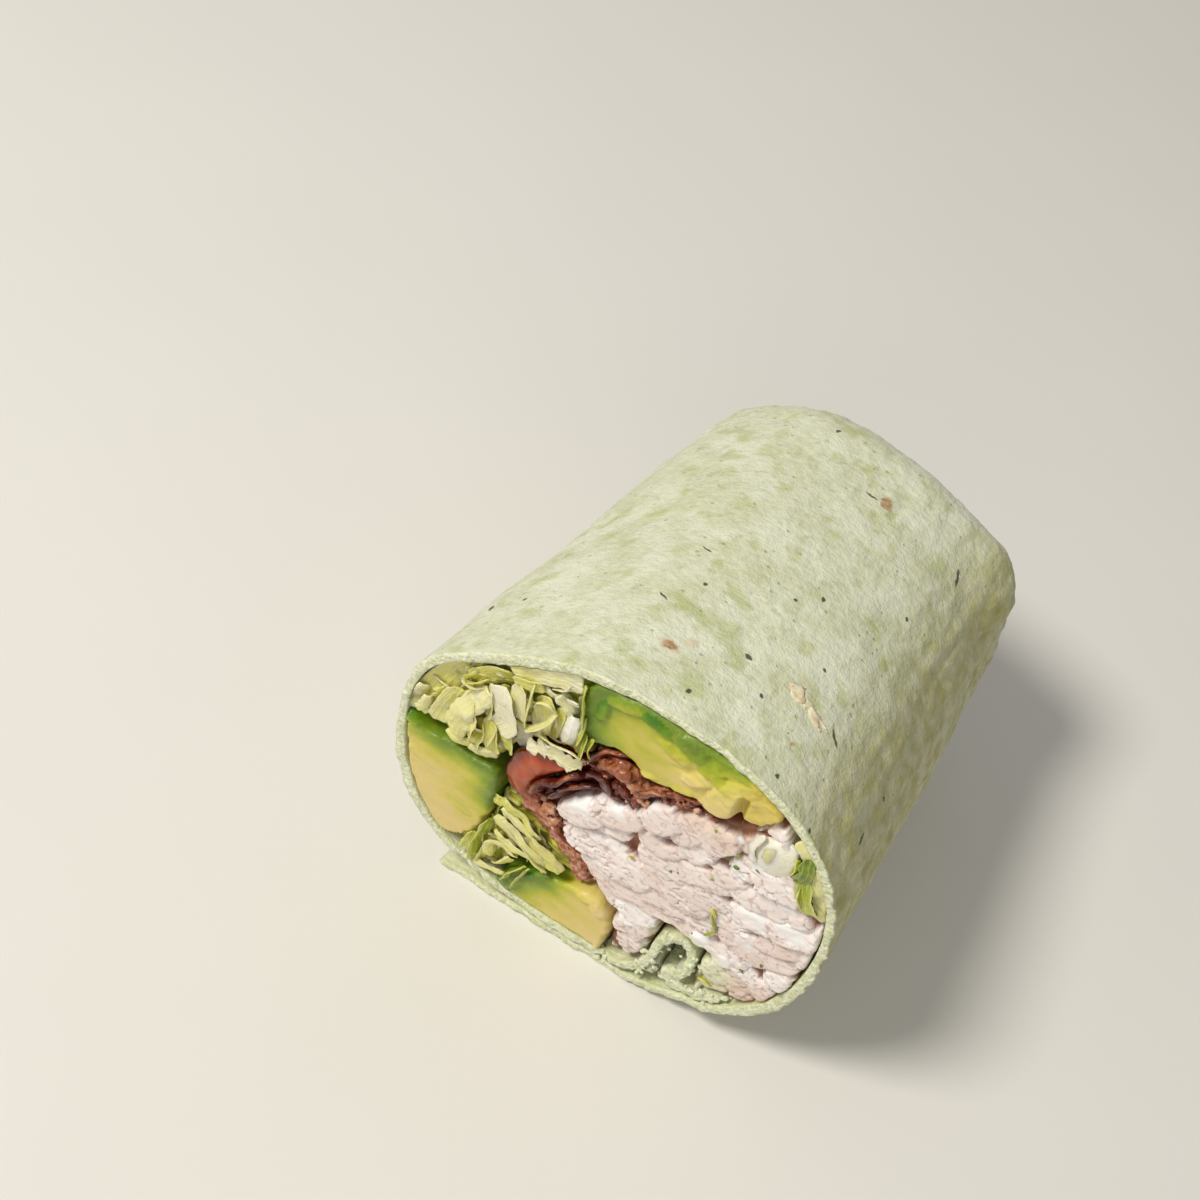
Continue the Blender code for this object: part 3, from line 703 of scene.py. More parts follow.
def ribbon(route, width, turn, thick, cup, ruffle, seed, fine, torn=0.4):
    """A thin blade along a route of x, z and out of the cut. width is half of its width.

    turn 0 shows its flat side, 90 shows it edge-on with its width running into the roll.
    """
    line = curve_through(route)
    length = line_length(line)
    line = evenly(line, max(5, int(length / fine)))
    share = np.linspace(0, 1, len(line))
    run = length * share[:, None]
    way = np.gradient(line, axis=0)
    way /= np.linalg.norm(way, axis=1)[:, None]
    beside = rows_of(-way[:, 1], way[:, 0], 0)
    beside /= np.maximum(np.linalg.norm(beside, axis=1), 1e-3)[:, None]
    turn = math.radians(turn)
    aside = beside * math.cos(turn) + np.cross(way, beside) * math.sin(turn)
    normal = np.cross(way, aside)
    across = np.linspace(-1, 1, max(4, int(2 * width / fine)))
    ends = np.minimum(1, 0.5 + 4 * share) * np.minimum(1, 0.6 + 4 * (1 - share))
    tears = 1 + torn * grain(rows_of(run / 1.1, across * 1.5, seed), 1)
    v = across * (width * ends)[:, None] * tears
    spots = rows_of(run, v, 0)
    waves = grain(spots, 3.4, seed) + 0.18 * grain(spots, 1.1, seed)
    rise = cup * across**2 + ruffle * waves
    middle = line[:, None] + aside[:, None] * v[..., None] + normal[:, None] * rise[..., None]
    thin = thick / 2 * (1 + 0.2 * grain(spots, 0.7, seed + 9)) * np.sqrt(1.02 - across**4)
    up = normal[:, None] * thin[..., None]
    points = np.concatenate([middle + up, middle - up]).reshape(-1, 3)
    points[:, :2] = keep_in_sheet(points[:, :2])
    rows, columns = v.shape
    half = rows * columns
    faces = grid_faces(rows, columns) + [face[::-1] for face in grid_faces(rows, columns, half)]
    rim = [*range(columns), *range(2 * columns - 1, half, columns)]
    rim += [*range(half - 2, half - columns - 1, -1), *range(half - 2 * columns, 0, -columns)]
    faces += [(a, b, b + half, a + half) for a, b in zip(rim, rim[1:] + rim[:1])]
    marks = {"edge": np.abs(across) ** 3, "share": share[:, None], "vein": v}
    for mark, values in marks.items():
        marks[mark] = np.tile(np.broadcast_to(values, v.shape).ravel(), 2)
    return place(points[:, 0], -points[:, 2], points[:, 1]), faces, marks


def shaken(x, z, coarse, fine):
    """The same points, moved a little, so that shapes laid over them get uneven edges."""
    spots = rows_of(x, z, 0)
    moved_x = x + coarse * grain(spots, 3.4, 4.0) + fine * grain(spots, 0.9, 8.0)
    moved_z = z + coarse * grain(spots, 3.4, 14.0) + fine * grain(spots, 0.9, 18.0)
    return moved_x, moved_z


def turned(x, z, at_x, at_z, length, width, turn):
    """Places in a flake's own directions: 1 at its ends and 1 at its sides."""
    long_way, short_way = rotated(x - at_x, z - at_z, -turn)
    return long_way / length, short_way / width


def lay_flakes(x, z, height, flakes, fall):
    """Lays torn flakes over a height, each leaning out to its lower edge and ending in a ledge.

    Gives the height, which flake lies on top, and its grain.
    """
    owner = np.full(x.shape, -1)
    grained = np.zeros(x.shape)
    for number, (*shape, top, lean) in enumerate(flakes):
        u, v = turned(x, z, *shape)
        ring = (np.abs(u) ** 2.6 + np.abs(v) ** 2.6) ** (1 / 2.6)
        here = top - lean * np.clip(v, -1.2, 1.2) - 0.3 * np.clip((ring - 0.5) / 0.5, 0, 1) ** 3
        here = here - np.clip(ring - 1, 0, None) * shape[3] * fall
        higher = here > height
        fibre = rows_of(u * shape[2] / 3.2, v * shape[3] / 0.55, number * 2.3)
        grained[higher] = grain(fibre[higher], 1)
        height = np.where(higher, here, height)
        owner[higher] = number
    return height, owner, grained


def near_line(x, z, line):
    """The distance of points in the cut from a line through corners."""
    line = curve_through(line)
    return np.sqrt(((x[:, None] - line[:, 0]) ** 2 + (z[:, None] - line[:, 1]) ** 2).min(1))


# The pleat's feet. Where the sheet's first edge is folded it is crushed, so pale crumbly dough
# fills the corners between the pleat and the sheet under it, near the cut.

FEET = [
    [
        (6.4, 3.4), (10.0, 2.6), (15.8, 2.8), (16.7, 6.0), (16.5, 10.4), (15.0, 10.6), (13.0, 6.6),
        (9.6, 4.6),
    ],
    [
        (17.2, 3.0), (23.0, 3.6), (29.4, 6.6), (32.0, 10.6), (29.6, 12.6), (26.0, 10.6),
        (22.6, 8.8), (20.6, 10.6), (17.4, 10.8), (17.1, 6.0),
    ],
]
FEET_DEPTH = 14.0
DOUGH_CRUMBS = 70


def feet_face(x, z, away):
    spots = rows_of(x, z, 0)
    relief = 0.5 * grain(spots, 2.4, 3.0) + 0.4 * grain(spots, 0.9, 7.0) - 0.5
    return relief, {"cut": 0.75 + 0.25 * grain(spots, 2, 9.0)}


def crumbs_along(line, count, dice, largest, thin, out, rough, step):
    """Small uneven lumps, scattered along a line in the cut. out is how far out they can lie."""
    line = evenly(curve_through(line), 60)
    for number in range(count):
        x, z = line[dice.randrange(len(line))] + (dice.gauss(0, 1.0), dice.gauss(0, 0.9))
        size = dice.uniform(0.25, largest)
        radii = (size, size * dice.uniform(0.5, 1.0), size * thin)
        yield chunk((x, z, dice.uniform(*out)), radii, dice.uniform(0, 180), rough, number * step)


dough = Heap("cut")
for corners in FEET:
    dough.add(*cut_piece(corners, 0.36, feet_face, back=FEET_DEPTH))
dice = random.Random(8)
for lump in crumbs_along(FOLD_ROUTE, DOUGH_CRUMBS, dice, 0.8, 0.7, (-0.7, 0.15), 0.5, 1.3):
    dough.add(lump, BALL_FACES, {"cut": dice.uniform(0.4, 1.0)})
made = dough.build("crushed_pleat_feet", sheet.data.materials[0])
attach(made, "root")
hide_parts("tortilla")


# Avocado. Three ripe wedges without peel, laid along the roll: soft, oily and smeared by the
# knife, vivid green where the peel was, then yellow, then cream next to where the stone was.

# The corners of each wedge, and the line where its peel was
AVOCADOS = {
    "avocado_top": (
        [
            (-8.8, 61.6), (-9.9, 67.0), (-9.0, 74.6), (-2.0, 79.0), (9.0, 78.0), (18.0, 73.6),
            (24.0, 69.6), (21.8, 65.0), (18.6, 63.8), (15.6, 62.4), (11.6, 61.8), (8.6, 61.4),
            (6.0, 60.2), (2.6, 60.0), (0.2, 61.9), (-2.8, 62.4), (-6.0, 60.6),
        ],
        [
            (-7.5, 61.0), (-9.6, 66.0), (-9.0, 72.0), (-6.0, 76.6), (0.0, 78.0), (7.0, 78.0),
            (13.0, 77.5),
        ],
    ),
    "avocado_left": (
        [
            (-41.0, 40.0), (-37.0, 39.4), (-34.0, 37.2), (-30.0, 37.9), (-27.0, 37.2),
            (-20.8, 37.4), (-19.9, 32.0), (-20.4, 24.0), (-22.2, 16.6), (-25.0, 12.4),
            (-29.0, 11.0), (-36.0, 13.0), (-41.0, 24.0),
        ],
        [
            (-41.0, 41.5), (-37.0, 40.6), (-33.0, 38.8), (-27.0, 38.6), (-20.6, 38.0),
            (-19.0, 34.0), (-19.2, 29.0),
        ],
    ),
    "avocado_low": (
        [
            (-15.8, 6.8), (-13.8, 11.6), (-9.4, 15.4), (-3.6, 17.6), (1.6, 19.2), (4.9, 17.0),
            (6.3, 11.0), (5.9, 5.6), (5.6, 3.4), (0.0, 3.0), (-8.0, 3.0), (-14.6, 4.2),
        ],
        [(-15.0, 3.0), (-14.6, 8.0), (-12.4, 12.6), (-8.4, 16.2)],
    ),
}
# Smears and broken bits: x, z, half length, half width, turn, height, lean
AVOCADO_SMEARS = {
    "avocado_top": [
        (15.4, 66.2, 4.4, 2.2, 82, 1.3, 0.2), (20.0, 67.0, 3.4, 1.5, 75, -0.5, 0.6),
        (22.4, 68.2, 2.4, 1.2, 60, -0.9, 0.5), (18.6, 71.0, 2.6, 1.2, -38, 0.3, 0.4),
        (12.0, 71.6, 3.6, 1.5, -28, 0.9, 0.4), (8.2, 73.8, 3.0, 1.3, -20, 1.0, 0.4),
        (10.6, 67.6, 3.0, 1.5, 40, 0.5, 0.5), (6.2, 70.6, 2.8, 1.1, -15, 0.6, 0.3),
        (2.6, 74.2, 3.2, 1.1, -8, 0.6, 0.3), (-3.6, 74.4, 2.6, 1.2, 15, 0.6, 0.3),
        (-6.6, 70.2, 3.0, 1.2, 80, 0.5, 0.3), (9.0, 62.6, 2.2, 0.9, 15, 0.3, 0.3),
        (13.4, 62.8, 1.4, 0.8, 0, 0.2, 0.3), (3.4, 61.2, 1.8, 0.7, 10, 0.2, 0.3),
    ],
    "avocado_left": [
        (-37.2, 38.8, 2.0, 1.4, -10, 0.5, 0.2), (-33.6, 30.0, 4.0, 2.0, -10, 0.15, 0.1),
        (-26.0, 22.0, 4.0, 1.6, -15, 0.12, 0.1), (-23.4, 13.6, 1.6, 0.8, -40, 0.3, 0.2),
    ],
    "avocado_low": [
        (3.4, 16.6, 1.8, 1.2, -50, 0.6, 0.3), (0.8, 18.0, 1.8, 0.8, 10, 0.5, 0.3),
        (5.6, 4.4, 1.0, 1.3, 0, 0.4, 0.2), (-13.6, 8.6, 3.0, 1.3, 70, 0.5, 0.3),
        (-10.4, 14.4, 2.2, 1.0, 45, 0.4, 0.3),
    ],
}
AVOCADO_COLOURS = [
    (0.0, tint(226, 202, 138)), (0.3, tint(214, 198, 102)), (0.52, tint(182, 184, 46)),
    (0.76, tint(122, 154, 4)), (1.0, tint(64, 116, 0)),
]
GREEN_REACH = {"avocado_top": 3.6, "avocado_left": 2.7, "avocado_low": 2.7}  # in from the peel
TORN_TIP = 17.2  # x where the top wedge's crumbled tip has split off


def moist_finish(name, shine, through, reach, depth, wet, wet_rough):
    """A finish that light enters, under a thin wet coat."""
    return new_finish(
        name, Specular_IOR_Level=shine, Subsurface_Weight=through, Subsurface_Radius=reach,
        Subsurface_Scale=depth, Coat_Weight=wet, Coat_Roughness=wet_rough,
    )


def avocado_finish():
    made, where = moist_finish("avocado", 0.4, 0.2, (1.0, 0.8, 0.15), 0.0014, 0.1, 0.2)
    green = where.mark("green") + (where.cloud(2.2, 3, 2.0) - 0.5) * 0.22
    streak = where.cloud(1.1, 3, 6.0).between(0.5, 0.75)
    colour = (streak * 0.1).mix(green.ramp(AVOCADO_COLOURS), tint(232, 220, 150))
    colour = (where.mark("mash") * 0.45).mix(colour, tint(212, 188, 82))
    rough = 0.34 + 0.3 * where.cloud(3, 2, 9.0)
    height = where.cloud(0.9, 3, 3.0) + where.cloud(0.3, 2, 4.0) * 0.3
    surface(where, Base_Color=colour, Roughness=rough, Normal=height.bump(0.3, 0.0003))
    return made


def avocado_face(name, green_line):
    """The face() of one wedge. green_line runs where its peel was."""
    def face(x, z, away):
        spots = rows_of(x / 5.5, z / 2.4, 0)
        smear = 0.2 * grain(spots, 1.4, 5.2) + 0.05 * grain(spots, 0.3, 1.2)
        from_peel = near_line(x, z, green_line)
        green = np.exp(-from_peel / (2.1 * GREEN_REACH[name])) * 1.3
        if name == "avocado_top":
            green = np.maximum(green, 0.42 * smooth(x, 13, 4))
        base = 0.05 + smear + 0.1 * smooth(from_peel, 2.2, 0.6)
        moved = shaken(x, z, 0.6, 0.3)
        relief, owner, _ = lay_flakes(*moved, base, AVOCADO_SMEARS[name], 1.6)
        split = smooth(x, TORN_TIP, TORN_TIP + 1) * (1 - smooth(x, TORN_TIP + 1, TORN_TIP + 2.2))
        relief = relief - 1.6 * split * (z > 55) * (z < 70)
        crumbly = smooth(x, 2, 9) * smooth(z, 64, 68)
        relief = relief + crumbly * (0.3 * grain(spots, 0.4, 2.0) + 0.12 * grain(spots, 0.15, 5.0))
        green = green + 0.15 * grain(spots, 1, 3.3) + 0.12 * (owner % 3 - 1) * (owner >= 0)
        mash = smooth(x, TORN_TIP, TORN_TIP + 1.4) * (z > 55) + 0.3 * (owner % 2)
        return relief, {"green": np.clip(green, 0, 1), "mash": mash}

    return face


avocado = avocado_finish()
for name, (corners, green_line) in AVOCADOS.items():
    wedge = cut_piece(corners, 0.34, avocado_face(name, green_line))
    made = build(name + "_wedge", avocado, *wedge)
    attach(made, "root")
    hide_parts(name)


# Tomato. One ripe slice, bent round the salad between the lettuce and the bacon: wet flesh
# with its seed hollow on the right, dusted with bits of the salad further down.

TOMATO = [
    (-7.4, 51.9), (-12.6, 50.6), (-17.0, 47.6), (-19.5, 41.4), (-18.4, 35.4), (-15.0, 31.0),
    (-10.2, 27.6), (-5.8, 24.0), (-2.6, 19.8), (-0.2, 20.8), (-3.0, 25.8), (-7.4, 29.8),
    (-11.6, 33.2), (-12.8, 37.0), (-11.6, 41.4), (-9.2, 45.2), (-6.6, 48.8),
]
SEED_HOLLOW = [(-5.6, 50.2), (-8.6, 45.4), (-11.0, 41.4), (-12.2, 37.6)]


def tomato_finish():
    made, where = moist_finish("tomato", 0.5, 0.3, (1.2, 0.4, 0.2), 0.001, 0.2, 0.12)
    dusty = where.mark("dusty")
    flesh = where.cloud(2.6, 3, 1.5).mix(tint(138, 38, 6), tint(196, 84, 24))
    # The seed hollow and the slice's edge are darker red: partly the hollow's and the skin's own red,
    # partly painted shade.
    colour = where.mark("hollow").mix(flesh, tint(96, 16, 6))
    grit = where.cloud(0.8, 3, 4.0).between(0.35, 0.65)
    dust = grit.mix(tint(160, 104, 80), tint(206, 158, 130))
    colour = (dusty * (0.55 + 0.4 * grit)).mix(colour, dust)
    height = where.cloud(1.1, 3, 2.0)
    surface(where, Base_Color=colour, Roughness=0.3 + 0.3 * dusty, Normal=height.bump(0.35, 0.0004))
    return made


def tomato_face(x, z, away):
    spots = rows_of(x, z, 0)
    hollow = smooth(near_line(x, z, SEED_HOLLOW), 3.4, 1.4)
    low = smooth(z, 37, 33)
    bulge = 0.9 * smooth(away, 0.2, 3.0) * (1 - low) + 0.2 * grain(spots, 2.8, 2.9)
    ripple = low * (0.5 * grain(spots, 1.1, 8.8) + 0.4 * grain(spots, 2.6, 4.8) - 0.5)
    # Painted shade in the recessed hollow and along the edge, partly the skin's deeper red.
    hollow_and_edge_shade = np.maximum(hollow, 0.6 * smooth(away, 2.4, 0.3))
    dusty = low * 0.9 + 0.12 * smooth(grain(spots, 1.8), 0.2, 0.6)
    return bulge - 2.4 * hollow - 0.8 + ripple, {"hollow": hollow_and_edge_shade, "dusty": dusty}


made = build("tomato_slice", tomato_finish(), *cut_piece(TOMATO, 0.36, tomato_face, round_off=0.5))
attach(made, "root")
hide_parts("tomato")


# Bacon. Fried streaky rashers, crumbled and packed along the roll: brown-pink lean with
# glossy fat, dark maroon where it fried hardest, and small bright crumbs at the edges.

BACON = {
    "bacon_upper": [
        (-13.0, 42.4), (-10.4, 45.0), (-7.0, 48.2), (-6.2, 52.6), (-6.2, 58.6), (-1.6, 61.4),
        (3.4, 59.4), (9.6, 60.9), (16.6, 62.6), (17.0, 60.2), (10.8, 58.2), (5.6, 55.6),
        (2.8, 51.0), (-2.4, 48.2), (-7.2, 44.6), (-10.4, 40.0), (-13.2, 39.6),
    ],
    "bacon_lower": [
        (-12.9, 36.6), (-10.0, 38.4), (-8.0, 33.8), (-3.2, 29.4), (0.9, 25.6), (1.2, 22.6),
        (-2.4, 25.6), (-6.8, 29.6), (-11.4, 33.4),
    ],
}
# owner, route of x, z and out, half width, turn, thickness, and how pale the lean is
RASHERS = [
    ("bacon_upper", [(-13.6, 38.6, -1.2), (-11.8, 42.6, -0.6), (-9.2, 46.0, -0.9), (-7.0, 49.6, -1.6)],
     2.6, 62, 1.1, 0.2),
    ("bacon_upper", [(-12.2, 37.0, -2.2), (-9.8, 41.2, -1.4), (-7.4, 45.0, -1.4), (-4.2, 48.2, -1.8)],
     2.4, 55, 1.0, 0.1),
    ("bacon_upper", [(-5.8, 50.6, -1.2), (-3.0, 52.6, -0.6), (-1.6, 50.0, -1.0), (0.8, 49.0, -1.6)],
     1.8, 40, 1.2, 0.05),
    ("bacon_upper", [(-6.0, 55.0, -2.2), (-4.6, 57.6, -1.6), (-2.6, 60.2, -2.0), (1.0, 60.8, -2.4)],
     2.2, 50, 1.0, 0.3),
    ("bacon_upper", [(2.2, 54.2, -1.0), (4.6, 56.4, -0.8), (7.6, 58.0, -1.2), (10.6, 59.6, -1.8)],
     1.6, 35, 0.9, 0.45),
    ("bacon_upper", [(8.0, 59.4, -2.0), (11.2, 60.8, -1.4), (14.6, 61.4, -1.6), (17.4, 61.8, -2.2)],
     1.4, 60, 0.8, 0.15),
    ("bacon_lower", [(-12.4, 35.4, -1.0), (-9.4, 33.6, -0.6), (-6.4, 30.8, -0.8), (-3.2, 28.0, -1.2)],
     1.6, 50, 0.9, 0.5),
]
# owner, x, z, out, half length, half width, depth, turn, and how pale it is
BACON_CHUNKS = [
    ("bacon_upper", -0.6, 58.2, -0.7, 2.7, 1.9, 1.8, 30, 0.55),
    ("bacon_upper", 2.2, 56.6, -0.6, 2.4, 1.5, 1.6, -35, 0.7),
    ("bacon_upper", -3.6, 56.4, -1.3, 1.8, 1.3, 1.4, 60, 0.6),
    ("bacon_upper", -4.2, 53.8, -1.5, 2.0, 1.2, 1.4, 20, 0.3),
    ("bacon_upper", 0.2, 53.4, -1.0, 1.9, 1.3, 1.5, -20, 0.15),
    ("bacon_upper", 2.9, 52.4, -1.0, 1.3, 1.0, 1.2, 40, 0.4),
    ("bacon_upper", -1.8, 50.6, -1.2, 1.5, 1.0, 1.2, 10, 0.05),
    ("bacon_upper", 5.6, 58.2, -1.2, 1.9, 1.0, 1.2, 25, 0.6),
    ("bacon_upper", 9.2, 60.0, -1.3, 1.5, 0.8, 1.1, 15, 0.5),
    ("bacon_upper", 13.4, 61.6, -1.4, 1.4, 0.9, 1.1, 20, 0.15),
    ("bacon_upper", -8.4, 45.4, -1.2, 1.5, 0.9, 1.1, 50, 0.1),
    ("bacon_upper", -10.8, 41.2, -1.0, 1.4, 0.8, 1.0, 60, 0.15),
    ("bacon_lower", -10.4, 36.4, -0.5, 1.5, 1.1, 1.1, 20, 0.8),
    ("bacon_lower", -8.8, 34.4, -0.5, 1.4, 0.9, 1.0, -30, 0.85),
]
CRUMB_LINES = {
    "bacon_upper": [(-6.0, 54.0), (-3.0, 52.0), (1.0, 51.0), (4.0, 55.0), (9.0, 58.6), (14.0, 60.8)],
    "bacon_lower": [(-12.6, 36.4), (-9.6, 34.8), (-6.0, 31.2), (-2.4, 27.8), (0.6, 24.6)],
}
CRUMBS = 90
BACON_COLOURS = [
    (0.0, tint(80, 18, 4)), (0.3, tint(120, 44, 18)), (0.55, tint(154, 82, 44)),
    (0.8, tint(196, 132, 92)), (1.0, tint(228, 180, 148)),
]
CRUMB_SHADES = (0.1, 0.3, 0.55, 0.8, 0.95)


def bacon_finish():
    made, where = moist_finish("bacon", 0.6, 0.15, (1.2, 0.35, 0.25), 0.001, 0.4, 0.14)
    pale = where.mark("pale") + (where.cloud(1.3, 3, 5.0) - 0.5) * 0.7
    colour = pale.ramp(BACON_COLOURS)
    rough = 0.22 + 0.35 * where.cloud(1.2, 2, 3.0)
    bump = where.cloud(0.7, 4, 3.0).bump(0.9, 0.0006)
    surface(where, Base_Color=colour, Roughness=rough, Normal=bump)
    return made


def bacon_face(x, z, away):
    spots = rows_of(x, z, 0)
    relief = -2.4 + 0.9 * grain(spots, 2.0, 6.6) + 0.5 * grain(spots, 0.8, 2.2)
    return relief, {"pale": 0.3 + 0.25 * grain(spots, 2.5, 1.0)}


bacon = bacon_finish()
for name, corners in BACON.items():
    heap = Heap("pale")
    heap.add(*cut_piece(corners, 0.4, bacon_face))
    for number, (owner, *shape, pale) in enumerate(RASHERS):
        if owner == name:
            points, faces, shares = ribbon(*shape, 0.3, 0.9, seed=number * 7.0, fine=0.3)
            lean = pale + 0.35 * np.sin(shares["share"] * 9 + number) * shares["edge"]
            heap.add(points, faces, {"pale": lean})
    for number, (owner, x, z, out, *radii, turn, pale) in enumerate(BACON_CHUNKS):
        if owner == name:
            lump = chunk((x, z, out), radii, turn, 0.6, number * 3.1)
            heap.add(lump, BALL_FACES, {"pale": pale + 0.25 * grain(BALL, 0.5, number)})
    dice = random.Random(name)
    for lump in crumbs_along(CRUMB_LINES[name], CRUMBS, dice, 0.75, 0.8, (-1.6, -0.3), 0.4, 1.7):
        heap.add(lump, BALL_FACES, {"pale": dice.choice(CRUMB_SHADES)})
    made = heap.build(name + "_pieces", bacon)
    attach(made, "root")
    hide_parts(name)


# Chicken salad. Cold cooked chicken torn into flat flakes and folded into a thick white
# dressing, with spring onion and celery: moist, dull pink-white with tan patches, and a
# painted brown shade in the torn lows and creases.

CHICKEN = [
    (-9.6, 37.6), (-6.6, 43.4), (-2.0, 47.6), (3.4, 50.2), (6.2, 55.0), (12.0, 58.2), (17.6, 60.2),
    (22.0, 63.4), (24.6, 67.4), (27.6, 64.2), (29.8, 59.6), (32.0, 54.2), (34.6, 50.4),
    (39.6, 50.0), (41.0, 40.0), (40.0, 28.0), (37.0, 20.0), (33.4, 17.0), (30.0, 15.2),
    (26.6, 13.6), (23.6, 11.6), (22.6, 13.0), (23.2, 17.0), (22.4, 21.6), (18.8, 24.2),
    (15.2, 23.0), (13.9, 18.0), (13.2, 12.0), (11.4, 7.6), (8.6, 6.2), (7.0, 8.0), (6.4, 15.6),
    (4.2, 20.4), (1.6, 23.6), (-2.6, 28.8), (-7.4, 33.0),
]
# x, z, half length, half width, turn of the long side, height out of the cut, lean
FLAKES = [
    (6.6, 52.4, 4.2, 3.4, 25, 0.7, 0.5), (12.3, 53.2, 4.8, 2.6, 60, 0.3, 0.4),
    (16.5, 55.6, 3.9, 3.0, 35, 0.5, 0.5), (14.8, 49.0, 3.4, 2.2, 40, 0.0, 0.4),
    (20.0, 58.4, 2.2, 1.6, 70, -0.9, 0.3), (22.4, 59.0, 3.0, 1.7, 75, -0.2, 0.4),
    (23.0, 52.5, 4.0, 2.2, 60, 0.2, 0.4), (27.8, 52.8, 4.4, 2.6, 10, 0.8, 0.5),
    (29.8, 57.2, 2.8, 1.8, 30, 0.0, 0.3), (-5.0, 41.0, 4.4, 2.6, 35, 0.6, 0.4),
    (1.0, 45.6, 4.8, 2.2, 30, 0.5, 0.4), (-1.6, 48.0, 2.6, 1.6, 40, -0.2, 0.3),
    (4.8, 48.0, 3.0, 1.6, 30, -0.5, 0.3), (9.2, 45.0, 4.0, 2.2, 15, 0.1, 0.4),
    (0.8, 41.4, 3.2, 1.8, 10, 0.0, 0.3), (-2.2, 34.6, 4.6, 3.2, 10, 0.4, 0.4),
    (4.6, 33.4, 5.6, 3.6, 5, 0.7, 0.5), (10.8, 41.0, 4.6, 2.4, -5, 0.3, 0.4),
    (14.6, 36.8, 6.4, 3.6, -5, 0.6, 0.5), (17.0, 43.4, 5.2, 2.2, 10, 0.3, 0.4),
    (12.4, 46.6, 3.2, 1.6, 30, -0.2, 0.3), (20.2, 47.4, 4.0, 2.2, 25, 0.1, 0.4),
    (19.8, 40.2, 3.4, 2.0, -20, 0.2, 0.4), (22.4, 35.6, 3.0, 2.0, 80, 0.0, 0.3),
    (13.0, 30.6, 5.4, 2.4, 0, 0.3, 0.5), (19.4, 31.2, 3.8, 2.0, 5, 0.1, 0.4),
    (5.6, 27.6, 5.4, 2.4, -5, 0.3, 0.5), (0.2, 28.4, 3.2, 2.0, -30, 0.0, 0.4),
    (12.6, 26.8, 4.6, 1.8, 0, 0.0, 0.4), (4.6, 23.4, 3.6, 2.2, -30, 0.0, 0.4),
    (9.6, 22.6, 3.8, 2.4, -15, 0.3, 0.5), (10.4, 17.8, 3.4, 2.2, 80, 0.2, 0.3),
    (10.4, 12.0, 3.2, 2.0, 75, -0.2, 0.3), (26.2, 46.2, 4.6, 2.4, 20, 0.2, 0.4),
    (31.6, 47.6, 4.0, 2.2, 15, 0.3, 0.4), (33.6, 42.8, 4.8, 2.4, 20, 0.5, 0.5),
    (27.4, 40.6, 4.6, 2.2, 5, 0.3, 0.4), (32.4, 37.4, 4.6, 2.0, 25, 0.2, 0.4),
    (26.2, 36.0, 3.6, 2.0, -10, 0.2, 0.4), (27.8, 31.8, 4.6, 2.2, -15, 0.4, 0.4),
    (33.8, 33.0, 3.6, 2.0, 30, 0.1, 0.4), (35.8, 28.8, 3.4, 2.4, 35, 0.4, 0.4),
    (30.6, 24.4, 3.8, 2.2, -20, 0.0, 0.4), (25.4, 27.2, 3.8, 2.0, 0, 0.2, 0.4),
    (20.0, 27.0, 3.8, 1.6, 0, 0.1, 0.3), (34.8, 22.6, 3.6, 2.4, -30, 0.2, 0.5),
    (29.6, 20.0, 3.2, 2.4, -35, 0.0, 0.4), (25.6, 19.4, 3.0, 2.2, -60, 0.1, 0.3),
    (26.6, 14.8, 2.6, 1.6, 10, -0.3, 0.2), (31.8, 17.0, 2.6, 1.6, -10, -0.2, 0.3),
    (37.6, 38.0, 3.2, 1.4, 80, 0.2, 0.2), (37.8, 46.0, 3.6, 1.5, 80, 0.4, 0.2),
    (28.0, 64.4, 3.4, 1.9, -38, -0.1, 0.4), (24.2, 65.4, 2.6, 1.6, -15, -0.4, 0.3),
    (20.6, 62.8, 2.4, 1.5, 60, -0.6, 0.3),
]
SMALL_FLAKES = 70
# x, z, half length, half width, turn, depth
PITS = [
    (4.8, 41.3, 0.8, 0.5, 20, 2.6), (20.6, 61.4, 2.0, 1.1, 65, 3.0),
    (31.2, 28.2, 1.7, 0.7, 40, 2.2), (24.2, 50.2, 1.4, 0.6, 70, 1.8),
    (19.4, 53.0, 1.6, 0.6, 80, 1.8), (10.8, 47.4, 1.4, 0.5, 50, 1.6),
    (5.8, 16.9, 0.9, 0.5, 30, 2.0), (-1.6, 44.0, 1.0, 0.3, 60, 1.2),
    (17.4, 47.0, 1.2, 0.5, 20, 1.4), (24.6, 15.6, 1.3, 0.6, -20, 2.0),
    (29.2, 17.2, 1.1, 0.5, 60, 1.6), (34.6, 19.0, 1.2, 0.4, 10, 1.4),
    (28.0, 36.4, 1.3, 0.4, 30, 1.2), (34.8, 45.2, 1.8, 0.4, 80, 1.2),
]
# Folds in the salad, as lines of x and z
CREVICES = [
    [(-6.4, 37.6), (-2.0, 38.6), (2.0, 39.4), (4.6, 40.8)],
    [(4.6, 49.6), (6.0, 47.8), (8.6, 46.8), (10.6, 47.2)],
    [(23.4, 49.6), (27.0, 50.2), (31.4, 50.8)],
    [(8.0, 29.2), (12.0, 28.4), (17.0, 29.2), (21.0, 29.0)],
    [(22.4, 44.0), (26.0, 43.2), (30.0, 44.4), (32.6, 46.4)],
    [(29.4, 38.4), (32.6, 39.8), (36.0, 41.0)],
]
# Pools of dressing: x, z and radius
DRESSING = [
    (-4.6, 41.4, 4.0), (1.2, 45.8, 3.6), (6.4, 54.0, 2.4), (24.4, 56.6, 2.6), (33.6, 43.4, 4.4),
    (31.4, 48.0, 3.0), (27.4, 40.8, 3.6), (36.6, 28.8, 3.0), (37.8, 44.0, 4.0), (27.6, 32.6, 3.0),
    (25.6, 24.8, 3.0), (9.8, 20.0, 2.6), (21.0, 26.4, 2.6),
]


